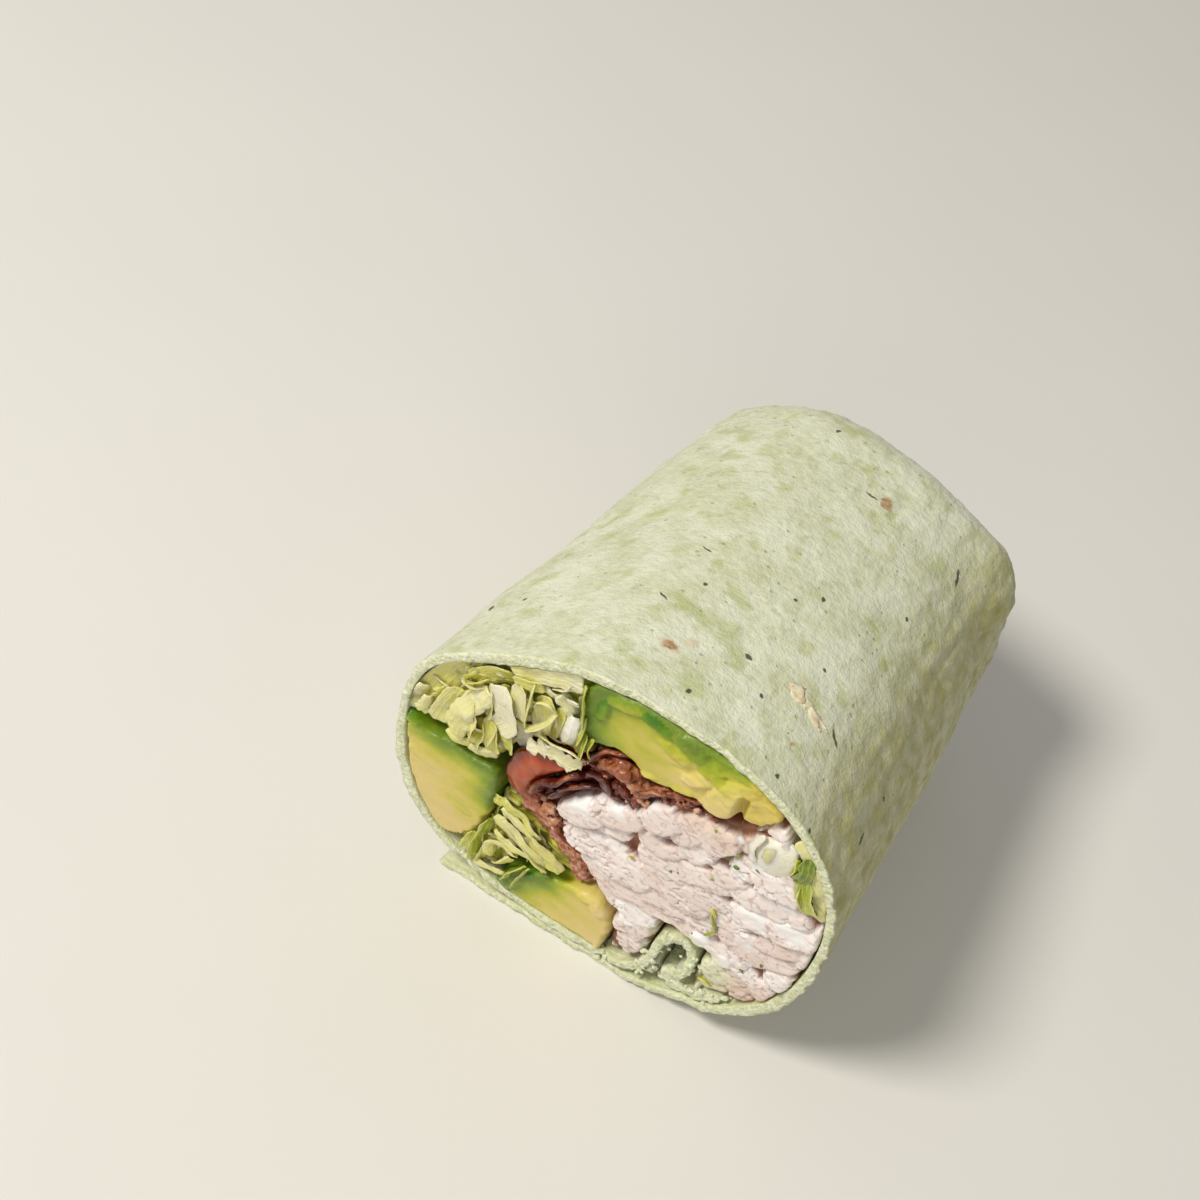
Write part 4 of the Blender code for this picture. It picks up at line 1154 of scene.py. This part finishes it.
def chicken_finish():
    made, where = moist_finish("chicken_salad", 0.45, 0.3, (1.2, 0.7, 0.55), 0.0012, 0.3, 0.22)
    white = where.mark("white")
    mottle = where.cloud(1.6, 3, 2.0)
    flesh = where.mark("tone").mix(tint(226, 207, 199), tint(244, 237, 234))
    flesh = (mottle.between(0.5, 0.72) * 0.3).mix(flesh, tint(226, 202, 192))
    colour = (where.mark("tan") * (0.3 + 0.5 * mottle)).mix(flesh, tint(214, 184, 156))
    # Painted shade: brown in the low places and creases of the salad.
    colour = where.mark("deep").mix(colour, tint(152, 98, 70))
    colour = (white * 0.9).mix(colour, tint(246, 243, 240))
    colour = (where.mark("greenish") * 0.6).mix(colour, tint(206, 214, 160))
    rough = 0.5 - 0.22 * white + 0.15 * mottle
    height = where.cloud(0.8, 4, 3.0)
    surface(where, Base_Color=colour, Roughness=rough, Normal=height.bump(0.25, 0.0003))
    return made


def chicken_face(x, z, away):
    """Torn flakes laid over each other, broken bits between them, and dressing in the lows."""
    spots = rows_of(x, z, 0)
    moved = shaken(x, z, 0.9, 0.4)
    dice = random.Random(12)
    flakes = list(FLAKES)
    for _ in range(SMALL_FLAKES):
        size = dice.uniform(1.0, 2.6)
        at = (dice.uniform(-8, 39), dice.uniform(9, 63))
        turn, top = dice.uniform(-40, 30), dice.uniform(-1.6, 0.3)
        flakes.append((*at, size, size * 0.55, turn, top, 0.5))
    tones = np.array([dice.random() for _ in range(len(flakes) + 1)])
    height, owner, grained = lay_flakes(*moved, -2.2 + 0.6 * grain(spots, 2.2, 3.0), flakes, 4.0)
    for *shape, depth in PITS:
        height = height - depth * smooth(np.hypot(*turned(*moved, *shape)), 1.35, 0.55)
    for line in CREVICES:
        height = height - 1.0 * smooth(near_line(*moved, line), 0.5, 0.1)
    broken = smooth(grain(spots, 6.0, 60.0) + 0.2 * smooth(x - z, -20, 10), -0.05, 0.4)
    stretched = rows_of(moved[0] / 2.9, moved[1] / 1.3, 5)
    creases = smooth(np.abs(grain(stretched, 1)), 0.09, 0.0)
    lumps = 0.35 * grain(stretched, 0.8, 9.0) + 0.12 * grain(spots, 0.75, 40.0)
    height = height + (0.2 + 0.75 * broken) * lumps - (0.04 + 0.45 * broken) * creases
    level = -0.35 + 0.55 * grain(spots, 5.0, 21.0) + 0.25 * grain(stretched, 1.2, 3.0)
    spread = np.zeros(x.shape)
    for at_x, at_z, radius in DRESSING:
        pool = smooth(np.hypot(x - at_x, z - at_z), radius * 1.25, radius * 0.5)
        spread = np.maximum(spread, pool)
    spread = np.maximum(spread, 0.6 * smooth(grain(spots, 4.0, 33.0), 0.15, 0.45))
    level = level + 0.6 * spread - 1.4 * (1 - spread)
    filled = np.maximum(height, level)
    white = smooth(level - height, -0.3, 0.2) * smooth(spread, 0.1, 0.6)
    height = filled + 0.08 * grained * (1 - white) + 0.03 * grain(spots, 0.45, 44.0)
    # Painted shade for the lows and creases, kept off the dressing.
    deep = np.clip(smooth(height, -0.5, -1.6) + 0.45 * creases * (1 - white), 0, 1)
    tan = smooth(z, 27, 19) * smooth(x, 24, 30)
    tan = tan + 0.7 * smooth(z, 52, 57) * smooth(x, 8, 13) * smooth(x, 25, 21)
    tan = tan + 0.4 * smooth(grain(spots, 3.2, 50.0), 0.2, 0.5)
    return height, {
        "deep": deep,
        "tone": tones[owner],
        "white": white,
        "tan": np.clip(tan, 0, 1) * (1 - white),
        "greenish": smooth(np.hypot(x - 21, z - 18), 10, 5),
    }


salad = cut_piece(CHICKEN, 0.26, chicken_face, round_off=0.9)
made = build("chicken_salad_flakes", chicken_finish(), *salad)
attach(made, "root")
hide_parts("chicken_salad")


# Bits in the salad. A round of spring onion, white with a pale green heart, a curved rim of
# celery, a flat onion leaf, and small chopped green specks, all pressed into the cut.

# x, z, out, half length, half width, depth, turn and hue
ONION_ROUNDS = [
    (25.9, 59.7, -0.6, 5.1, 3.7, 1.2, 84, 0.03), (25.1, 60.2, 0.2, 2.4, 1.3, 0.65, 86, 0.3),
]
# route of x, z and out, half width, turn, thickness and hue
ONION_STRIPS = [
    ([(21.2, 36.6, 0.3), (22.2, 34.4, 0.5), (22.6, 31.8, 0.5), (21.6, 29.4, 0.3)], 0.5, 70, 0.4, 0.86),
    ([(20.6, 38.0, 0.2), (21.4, 37.4, 0.3), (22.0, 36.0, 0.2)], 0.4, 60, 0.3, 0.6),
    ([(29.9, 57.6, -0.2), (31.0, 60.2, 0.4), (30.4, 63.6, -0.4)], 1.4, 15, 0.5, 0.95),
    ([(29.2, 58.2, 0.0), (29.6, 60.4, 0.6), (29.0, 62.8, 0.0)], 0.6, 50, 0.4, 0.7),
    ([(23.2, 63.8, 0.1), (22.3, 60.2, 0.4), (23.2, 56.2, 0.2)], 0.7, 25, 0.5, 0.0),
    ([(30.6, 27.6, -0.9), (31.6, 28.4, -0.7), (32.6, 29.6, -0.8)], 0.6, 40, 0.4, 0.9),
    ([(23.6, 15.4, -0.2), (24.8, 16.2, 0.1), (26.0, 15.4, 0.0)], 0.5, 40, 0.4, 0.7),
]
SPECKS = 20
GREENS = [
    (0.0, tint(240, 236, 218)), (0.25, tint(234, 228, 160)), (0.5, tint(224, 218, 98)),
    (0.75, tint(166, 180, 34)), (1.0, tint(84, 110, 10)),
]


def greens_finish(name):
    """Moist leaf: light passes through it, and the cut edges are paler."""
    made, where = moist_finish(name, 0.5, 0.4, (0.9, 1.0, 0.35), 0.002, 0.5, 0.1)
    vein = where.mark("vein")
    veins = where.math("SINE", vein * 7 + where.cloud(3.0, 2, 7.0) * 9).between(0.1, 1.0)
    hue = where.mark("hue") + (where.cloud(2.0, 3, 2.0) - 0.5) * 0.3 - veins * 0.12
    colour = (where.mark("edge") * 0.35).mix(hue.ramp(GREENS), tint(236, 232, 180))
    rough = 0.3 + 0.25 * where.cloud(1.4, 2, 6.0)
    height = where.cloud(0.8, 3, 5.0) + veins * 0.35
    surface(where, Base_Color=colour, Roughness=rough, Normal=height.bump(0.5, 0.0004))
    return made


bits = Heap("hue", "edge", "vein")
for number, (x, z, out, *radii, turn, hue) in enumerate(ONION_ROUNDS):
    bits.add(chunk((x, z, out), radii, turn, 0.2, number), BALL_FACES, {"hue": hue})
for number, (*shape, hue) in enumerate(ONION_STRIPS):
    points, faces, shares = ribbon(*shape, 0.2, 0.4, seed=number, fine=0.3)
    bits.add(points, faces, {"hue": hue, "edge": 0.4 * shares["edge"], "vein": shares["vein"]})
dice = random.Random(3)
for _ in range(SPECKS):
    x, z = dice.uniform(-4, 36), dice.uniform(14, 58)
    if inside(np.array([(x, z)]), np.array(CHICKEN))[0]:
        size = dice.uniform(0.18, 0.42)
        radii = (size * dice.uniform(1, 2.2), size, size)
        lump = chunk((x, z, dice.uniform(-0.1, 0.4)), radii, dice.uniform(0, 180), 0.3, x)
        bits.add(lump, BALL_FACES, {"hue": dice.uniform(0.8, 1.1)})
made = bits.build("spring_onion_and_celery", greens_finish("spring_onion"))
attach(made, "root")
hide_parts("chicken_salad")


# Lettuce. Shredded romaine, laid along the roll and cut with it: thick pale ribs under the
# sheet, crumpled cream and yellow blades before them, and thin green edges. Crisp and moist.

LETTUCE = {
    "lettuce_top": [
        (-40.0, 43.0), (-41.0, 50.0), (-37.0, 62.0), (-28.0, 72.0), (-18.0, 76.0), (-11.0, 75.6),
        (-10.2, 67.0), (-8.2, 61.0), (-7.2, 57.4), (-7.8, 53.0), (-13.2, 51.6), (-18.0, 48.4),
        (-20.4, 42.8), (-22.4, 38.8), (-28.0, 38.4), (-34.0, 38.8),
    ],
    "lettuce_right": [
        (26.6, 66.4), (31.0, 67.4), (38.0, 58.0), (40.0, 50.6), (35.4, 51.4), (33.2, 55.4),
        (31.0, 60.4), (28.8, 64.4),
    ],
    "lettuce_low": [
        (-19.0, 33.6), (-15.8, 30.2), (-11.0, 26.6), (-6.6, 23.2), (-3.4, 19.4), (-9.8, 17.0),
        (-14.8, 12.8), (-16.6, 7.0), (-22.6, 6.0), (-25.4, 11.2), (-21.8, 17.0), (-19.8, 25.0),
    ],
}
# half width, turn, thickness, cup, ruffle, torn edge; colour at both ends; route of x, z and out
LEAVES = {
    "lettuce_top": [
        (3.6, 12, 0.82, 0.6, 0.3, 0.08, (0.3, 0.6),
         [(-37.4, 40.5, -1.2), (-36, 48, -1.6), (-33.4, 56, -2.2), (-29, 62.5, -2.6), (-23.5, 67, -2.4)]),
        (2.2, 15, 0.49, 0.3, 0.4, 0.10, (0.5, 0.66),
         [(-28.4, 56.6, -1.6), (-25.8, 60.8, -1.4), (-22, 63.6, -1.4)]),
        (2.9, 4, 0.7, 0.25, 0.6, 0.16, (0.36, 0.2),
         [(-22.6, 66.4, -0.6), (-18.5, 69.2, -0.4), (-14.5, 71, -0.4), (-10.8, 72, -0.6)]),
        (1.4, 10, 0.38, 0.3, 0.5, 0.15, (0.56, 0.5),
         [(-21.6, 63.6, -0.6), (-19.4, 64.8, -0.3), (-16.6, 66, -0.5)]),
        (2.0, 15, 0.38, 0.3, 0.4, 0.10, (0.36, 0.46),
         [(-32.8, 41.6, -0.8), (-31.8, 47, -0.6), (-30.2, 52.6, -0.8)]),
        (2.3, 15, 0.33, -0.7, 1.1, 0.25, (0.26, 0.42),
         [(-25, 57.4, 0), (-27, 53, 0.8), (-28.6, 48.4, 1.1), (-29.4, 43.6, 0.8), (-28.4, 41, 0.2)]),
        (1.4, 35, 0.33, 0.4, 0.9, 0.20, (0.36, 0.54),
         [(-26.8, 53.4, 0.3), (-26, 48.2, 0.8), (-26.6, 43.6, 0.6)]),
        (1.4, 40, 0.33, 0.4, 0.5, 0.15, (0.2, 0.36),
         [(-24.8, 58.8, -0.8), (-24.2, 54.8, -0.2), (-24.4, 50.8, -0.6)]),
        (2.4, 10, 0.43, 0.4, 0.4, 0.12, (0.12, 0.2),
         [(-23.2, 60.6, -0.4), (-21.6, 57, 0.3), (-20.6, 53.6, 0.4), (-22, 50.2, -0.2)]),
        (1.6, 12, 0.33, 0.4, 0.4, 0.10, (0.3, 0.22),
         [(-20.4, 63.4, -0.4), (-19.6, 60, 0.2), (-18.9, 56, 0.2)]),
        (1.9, 5, 0.33, 0.4, 0.3, 0.10, (0.5, 0.4),
         [(-15.6, 64, -0.9), (-15.4, 60, -0.6), (-15.6, 55, -0.9)]),
        (0.8, 50, 0.33, 0.2, 0.3, 0.10, (0.42, 0.3),
         [(-17.9, 66, -0.2), (-17.7, 61, 0.6), (-17.6, 55, 0.3)]),
        (0.5, 60, 0.27, 0.2, 0.2, 0.10, (0.34, 0.28),
         [(-16.9, 61, 0), (-16.4, 63.4, 0.6), (-14.6, 64.4, 0.7), (-13.2, 63, 0.3)]),
        (0.7, 55, 0.30, 0.3, 0.3, 0.15, (0.3, 0.36),
         [(-13, 62.8, 0.3), (-13.8, 60.4, 1), (-15.4, 57.4, 1.1), (-17.4, 54.8, 0.6)]),
        (1.3, 20, 0.33, 0.3, 0.3, 0.10, (0.56, 0.46),
         [(-12.8, 63, -1), (-13, 59, -0.7), (-13.6, 55.4, -0.8)]),
        (1.5, 12, 0.43, -0.6, 0.2, 0.05, (0.02, 0.06),
         [(-10.8, 63.6, -0.2), (-10.5, 60.2, 0.5), (-11.2, 56.6, 0)]),
        (1.7, -12, 0.25, 0.2, 1.5, 1.30, (0.2, 0.28),
         [(-16.4, 51.2, 0.2), (-13.4, 53.2, 1), (-10.2, 53.8, 1.2), (-6.8, 54.2, 0.6)]),
        (0.9, 35, 0.27, 0.3, 0.8, 0.35, (0.24, 0.2),
         [(-15.2, 55, 0.4), (-12, 56, 1), (-9, 56.8, 1), (-6.8, 56.4, 0.4)]),
        (0.8, 40, 0.27, 0.3, 0.5, 0.25, (0.86, 0.7),
         [(-7.4, 62.6, 0.2), (-7.2, 59.4, 0.7), (-7, 55.8, 0.5)]),
        (0.8, 50, 0.27, 0.3, 0.6, 0.25, (0.8, 0.66),
         [(-8.6, 66.4, 0.3), (-8.2, 62.4, 0.7), (-8.8, 58.6, 0.3)]),
        (0.9, 55, 0.27, 0.3, 0.5, 0.20, (0.7, 0.84),
         [(-9.9, 73, 0), (-9.3, 68.4, 0.5), (-8.4, 63.8, 0.5)]),
        (0.6, 45, 0.27, 0.3, 0.6, 0.30, (0.74, 0.8),
         [(-6.2, 62.2, 0.4), (-6.6, 59.4, 0.8), (-6.2, 57, 0.4)]),
        (1.7, 20, 0.33, 0.5, 0.7, 0.15, (0.5, 0.6),
         [(-23.8, 51, 0), (-22.6, 47.6, 0.5), (-21.8, 43.8, 0.4)]),
        (1.5, 30, 0.33, 0.4, 0.7, 0.20, (0.6, 0.5),
         [(-25, 49, -0.4), (-24.8, 45.2, 0.1), (-25.2, 41.4, 0)]),
        (1.3, 15, 0.33, 0.4, 0.5, 0.20, (0.56, 0.64),
         [(-21, 51, -0.4), (-19.8, 48.4, 0), (-19.4, 45.6, -0.2)]),
        (0.5, 50, 0.27, 0.2, 0.3, 0.15, (0.3, 0.36),
         [(-22, 50, 0.7), (-22.3, 47.4, 1), (-22.8, 44.8, 0.8)]),
        (1.5, 5, 0.33, -0.4, 0.6, 0.25, (0.4, 0.32),
         [(-26, 40.2, 0.2), (-23.6, 41.4, 0.8), (-21.2, 42.8, 0.3)]),
        (1.2, 10, 0.33, -0.4, 0.6, 0.25, (0.4, 0.52),
         [(-30.8, 41, 0), (-28.2, 40.4, 0.4), (-26, 41.2, 0.1)]),
        (1.4, 20, 0.33, -0.4, 1.0, 0.25, (0.3, 0.24),
         [(-38.8, 43.4, -0.4), (-37.2, 45.6, 0), (-36.2, 48.8, -0.2)]),
        (1.1, 35, 0.33, -0.4, 0.8, 0.25, (0.4, 0.3),
         [(-36.4, 42.4, -0.1), (-35.2, 44.4, 0.3), (-35, 47.2, -0.1)]),
    ],
    "lettuce_right": [
        (1.5, 10, 0.43, 0.3, 0.5, 0.15, (0.34, 0.3),
         [(37, 50.8, -0.9), (35.8, 54.4, -0.5), (33.8, 58.4, -0.5), (31.4, 62, -0.9)]),
        (1.3, 20, 0.43, 0.3, 0.5, 0.15, (0.3, 0.34),
         [(31.8, 62, -1), (30, 64.6, -0.7), (28, 66.2, -1)]),
        (1.7, 10, 0.33, 0.4, 0.9, 0.35, (0.84, 0.66),
         [(31.4, 58.6, -0.5), (32.6, 55.4, 0.5), (34.6, 51.4, 0.2)]),
        (0.9, 40, 0.27, 0.3, 0.8, 0.35, (0.74, 0.6),
         [(30.8, 57.4, -0.4), (31.2, 54.6, 0.5), (32.6, 51.8, 0.2)]),
    ],
    "lettuce_low": [
        (1.8, 15, 0.33, -0.4, 0.9, 0.25, (0.6, 0.5),
         [(-18.6, 31.2, -0.2), (-15, 29.2, 0.3), (-10.4, 26, 0.2)]),
        (1.7, 5, 0.33, -0.4, 0.9, 0.20, (0.44, 0.56),
         [(-13, 24.2, 0), (-9.4, 21.8, 0.5), (-5.2, 20, 0.1)]),
        (2.1, 8, 0.33, -0.5, 0.8, 0.15, (0.42, 0.34),
         [(-19.2, 24.2, -0.4), (-15.4, 23, 0.4), (-11.6, 22.4, 0.4)]),
        (1.2, 5, 0.27, -0.5, 0.8, 0.25, (0.36, 0.5),
         [(-18, 28.8, 0.2), (-13.4, 27.2, 0.9), (-8.6, 24.2, 0.7), (-4.8, 21.2, 0.1)]),
        (0.7, -20, 0.27, 0.3, 0.6, 0.25, (0.3, 0.44),
         [(-16.6, 27.4, 0.6), (-12.6, 24.8, 1.1), (-7.6, 21.2, 0.7)]),
        (0.8, 30, 0.27, 0.3, 0.6, 0.20, (0.5, 0.4),
         [(-15.4, 24.4, 0.5), (-11.4, 21.8, 1), (-7.2, 18.8, 0.4)]),
        (1.5, 20, 0.33, -0.4, 0.9, 0.20, (0.5, 0.38),
         [(-18.4, 21, 0), (-15.4, 19.6, 0.5), (-12.2, 20, 0.6), (-9.2, 18.4, 0)]),
        (1.2, 35, 0.33, -0.3, 0.8, 0.20, (0.5, 0.4),
         [(-17.6, 13.2, 0.2), (-18.2, 16.6, 0.5), (-16.2, 18.6, 0.6), (-13, 17.6, 0.2)]),
        (1.2, 55, 0.33, 0.3, 0.7, 0.20, (0.74, 0.84),
         [(-21.4, 7.4, -0.2), (-21.2, 13, 0.3), (-20.8, 18, 0.2), (-19.8, 23, -0.3)]),
        (0.9, 45, 0.27, 0.3, 0.8, 0.25, (0.6, 0.7),
         [(-19.4, 8.4, 0), (-19.2, 12.6, 0.5), (-18.6, 17, 0.3)]),
        (1.1, 30, 0.33, 0.3, 0.7, 0.25, (0.66, 0.56),
         [(-23.4, 9.4, -0.5), (-22.6, 12.6, -0.1), (-22, 16.2, -0.4)]),
        (0.9, 50, 0.27, 0.3, 0.7, 0.25, (0.8, 0.6),
         [(-14.6, 8.4, 0.3), (-13.4, 12.6, 0.8), (-11.4, 17.4, 0.7)]),
        (0.5, 60, 0.27, 0.2, 0.5, 0.20, (0.7, 0.56),
         [(-12.6, 7.6, 0.5), (-11.8, 12, 0.9), (-10.4, 16.8, 0.5)]),
        (1.3, 10, 0.33, -0.4, 0.7, 0.20, (0.36, 0.44),
         [(-20.8, 8, 0.2), (-17.6, 8.8, 0.6), (-14.2, 9.8, 0.3)]),
        (1.1, 35, 0.27, -0.3, 0.7, 0.20, (0.5, 0.44),
         [(-16.8, 10.4, -0.2), (-15.4, 12.6, 0.2), (-14, 15.2, 0)]),
        # This dark green blade, set deepest, is painted shade: it fills the dark gap at the heap's left.
        (1.0, 60, 0.27, 0.3, 0.6, 0.20, (0.95, 0.9),
         [(-19.6, 27.6, -1.8), (-19, 24, -1.6), (-18.6, 20, -1.8)]),
    ],
}
# How many more shreds fill each heap, and the way in degrees that they lie
SHREDS = {"lettuce_top": 55, "lettuce_right": 3, "lettuce_low": 40}
FLOW = {"lettuce_top": 58, "lettuce_right": 118, "lettuce_low": -35}
SHRED_HUES = (0.2, 0.3, 0.4, 0.5, 0.6)


def lettuce_core(x, z, away):
    spots = rows_of(x, z, 0)
    relief = -2.4 + 1.2 * grain(spots, 3.2, 9.6) + 0.6 * grain(spots, 1.2, 3.6)
    # The set-back core is olive: partly the leaves' own green, partly painted shade in the gaps between
    # them.
    return relief, {"hue": 0.6 - 0.28 * smooth(x, 15, 25) + 0.25 * grain(spots, 2.5, 1.0)}


lettuce = greens_finish("lettuce")
for name, corners in LETTUCE.items():
    heap = Heap("hue", "edge", "vein")
    heap.add(*cut_piece(corners, 0.7, lettuce_core))
    for number, (*shape, torn, hues, route) in enumerate(LEAVES[name]):
        points, faces, shares = ribbon(route, *shape, seed=number * 5.3, fine=0.28, torn=torn)
        shares["hue"] = np.interp(shares["share"], (0, 1), hues)
        heap.add(points, faces, shares)
    dice = random.Random(name)
    bounds = np.array(corners)
    (low_x, low_z), (high_x, high_z) = bounds.min(0), bounds.max(0)
    shreds = 0
    while shreds < SHREDS[name]:
        middle = np.array([dice.uniform(low_x, high_x), dice.uniform(low_z, high_z)])
        turn, length = math.radians(dice.gauss(FLOW[name], 32)), dice.uniform(2.5, 9.0)
        step = np.array([math.cos(turn), math.sin(turn)]) * length / 2
        bow = np.array([-step[1], step[0]]) * dice.uniform(-0.35, 0.35)
        line = np.array([middle - step, middle + bow, middle + step])
        if not inside(line, bounds).all() or np.abs(keep_in_sheet(line) - line).max() > 0.01:
            continue
        shreds += 1
        out = dice.uniform(-2.8, -0.2)
        route = [(*spot, out + dice.uniform(-0.4, 0.4)) for spot in line]
        shape = (dice.uniform(0.6, 1.5), dice.uniform(5, 60), 0.28, dice.uniform(-0.4, 0.4), 0.9)
        points, faces, shares = ribbon(route, *shape, seed=shreds * 3.3, fine=0.42)
        shares["hue"] = dice.choice(SHRED_HUES)
        heap.add(points, faces, shares)
    made = heap.build(name + "_leaves", lettuce)
    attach(made, "root")
    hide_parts(name)


# A crumb of the salad, stuck to the outside of the sheet near the cut: a few thin cream
# flakes that overlap, dried brown in places.

# angle, along, half length, half width, half thickness and turn
STUCK = [
    (157.2, 19.4, 1.9, 1.2, 0.3, 20), (151.4, 17.4, 2.2, 1.0, 0.3, 60),
    (154.2, 18.4, 1.2, 0.7, 0.2, 10), (148.6, 17.2, 1.0, 0.4, 0.35, 80),
]


def crumb_finish():
    dull = {"Roughness": 0.5, "Subsurface_Weight": 0.2, "Subsurface_Scale": 0.001}
    made, where = new_finish("stuck_crumb", **dull)
    dried = where.cloud(0.9, 3, 2.0).between(0.42, 0.62)
    surface(where, Base_Color=(dried * 0.5).mix(tint(236, 224, 194), tint(196, 160, 108)))
    return made


crumb = Heap()
for number, (angle, along, *radii, turn) in enumerate(STUCK):
    centre, ways = on_sheet(angle, along, turn)
    lump = BALL * (1 + 0.7 * grain(BALL, 0.7, number)[:, None]) * MM
    reach = np.array([way * radius for way, radius in zip(ways, radii)])
    crumb.add(np.array(centre) + lump @ reach, BALL_FACES, {})
made = crumb.build("stuck_crumb", crumb_finish())
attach(made, "root")
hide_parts("chicken_salad")


# The view and the light: a plain pale floor, one large soft lamp high on the left and a weak
# one in front. The camera looks down on the cut from its right, as the photo does.

VIEW_FROM = (45.5, -164.3, 290.7)  # from the middle of the cut's foot
VIEW_TURN = math.radians(-19.65)
VIEW_DOWN = math.radians(49.2)
VIEW_ROLL = math.radians(18.2)
LENS = 56.27  # for a 36 mm wide film
FLOOR_SIZE = 6.0


def floor_finish():
    made, where = new_finish("floor", Roughness=0.8, Specular_IOR_Level=0.2)
    surface(where, Base_Color=where.cloud(60, 2).mix(tint(226, 223, 217), tint(230, 227, 221)))
    return made


bpy.ops.mesh.primitive_plane_add(size=FLOOR_SIZE)
floor = bpy.context.object
floor.name = "floor"
floor.data.materials.append(floor_finish())


def lamp(name, at, size, power, colour):
    light = bpy.data.lights.new(name, "AREA")
    light.shape = "DISK"
    light.size = size
    light.energy = power
    light.color = colour
    made = bpy.data.objects.new(name, light)
    made.location = at
    made.rotation_mode = "QUATERNION"
    made.rotation_quaternion = (Vector((0, 0, 0.03)) - Vector(at)).to_track_quat("-Z", "Y")
    bpy.context.scene.collection.objects.link(made)


lamp("key", (-0.46, -0.52, 0.96), 0.3, 10.2, (1.0, 0.97, 0.89))
lamp("front", (0.3, -0.9, 0.55), 0.6, 1.2, (0.97, 0.98, 1.0))

world = bpy.data.worlds.new("studio")
world.use_nodes = True
world.node_tree.nodes["Background"].inputs["Color"].default_value = (1.0, 0.99, 0.97, 1)
world.node_tree.nodes["Background"].inputs["Strength"].default_value = 0.33
bpy.context.scene.world = world
bpy.context.scene.view_settings.view_transform = "Standard"

eye = bpy.data.cameras.new("camera")
eye.lens = LENS
eye.sensor_width = 36
eye.clip_start = 0.01
camera = bpy.data.objects.new("camera", eye)
aside, down = math.cos(VIEW_DOWN), -math.sin(VIEW_DOWN)
look = Vector((math.sin(VIEW_TURN) * aside, math.cos(VIEW_TURN) * aside, down))
camera.rotation_mode = "QUATERNION"
camera.rotation_quaternion = look.to_track_quat("-Z", "Y") @ Quaternion((0, 0, 1), VIEW_ROLL)
camera.location = (Vector(VIEW_FROM) + Vector((*CUT_FOOT, 0))) * MM
bpy.context.scene.collection.objects.link(camera)
bpy.context.scene.camera = camera
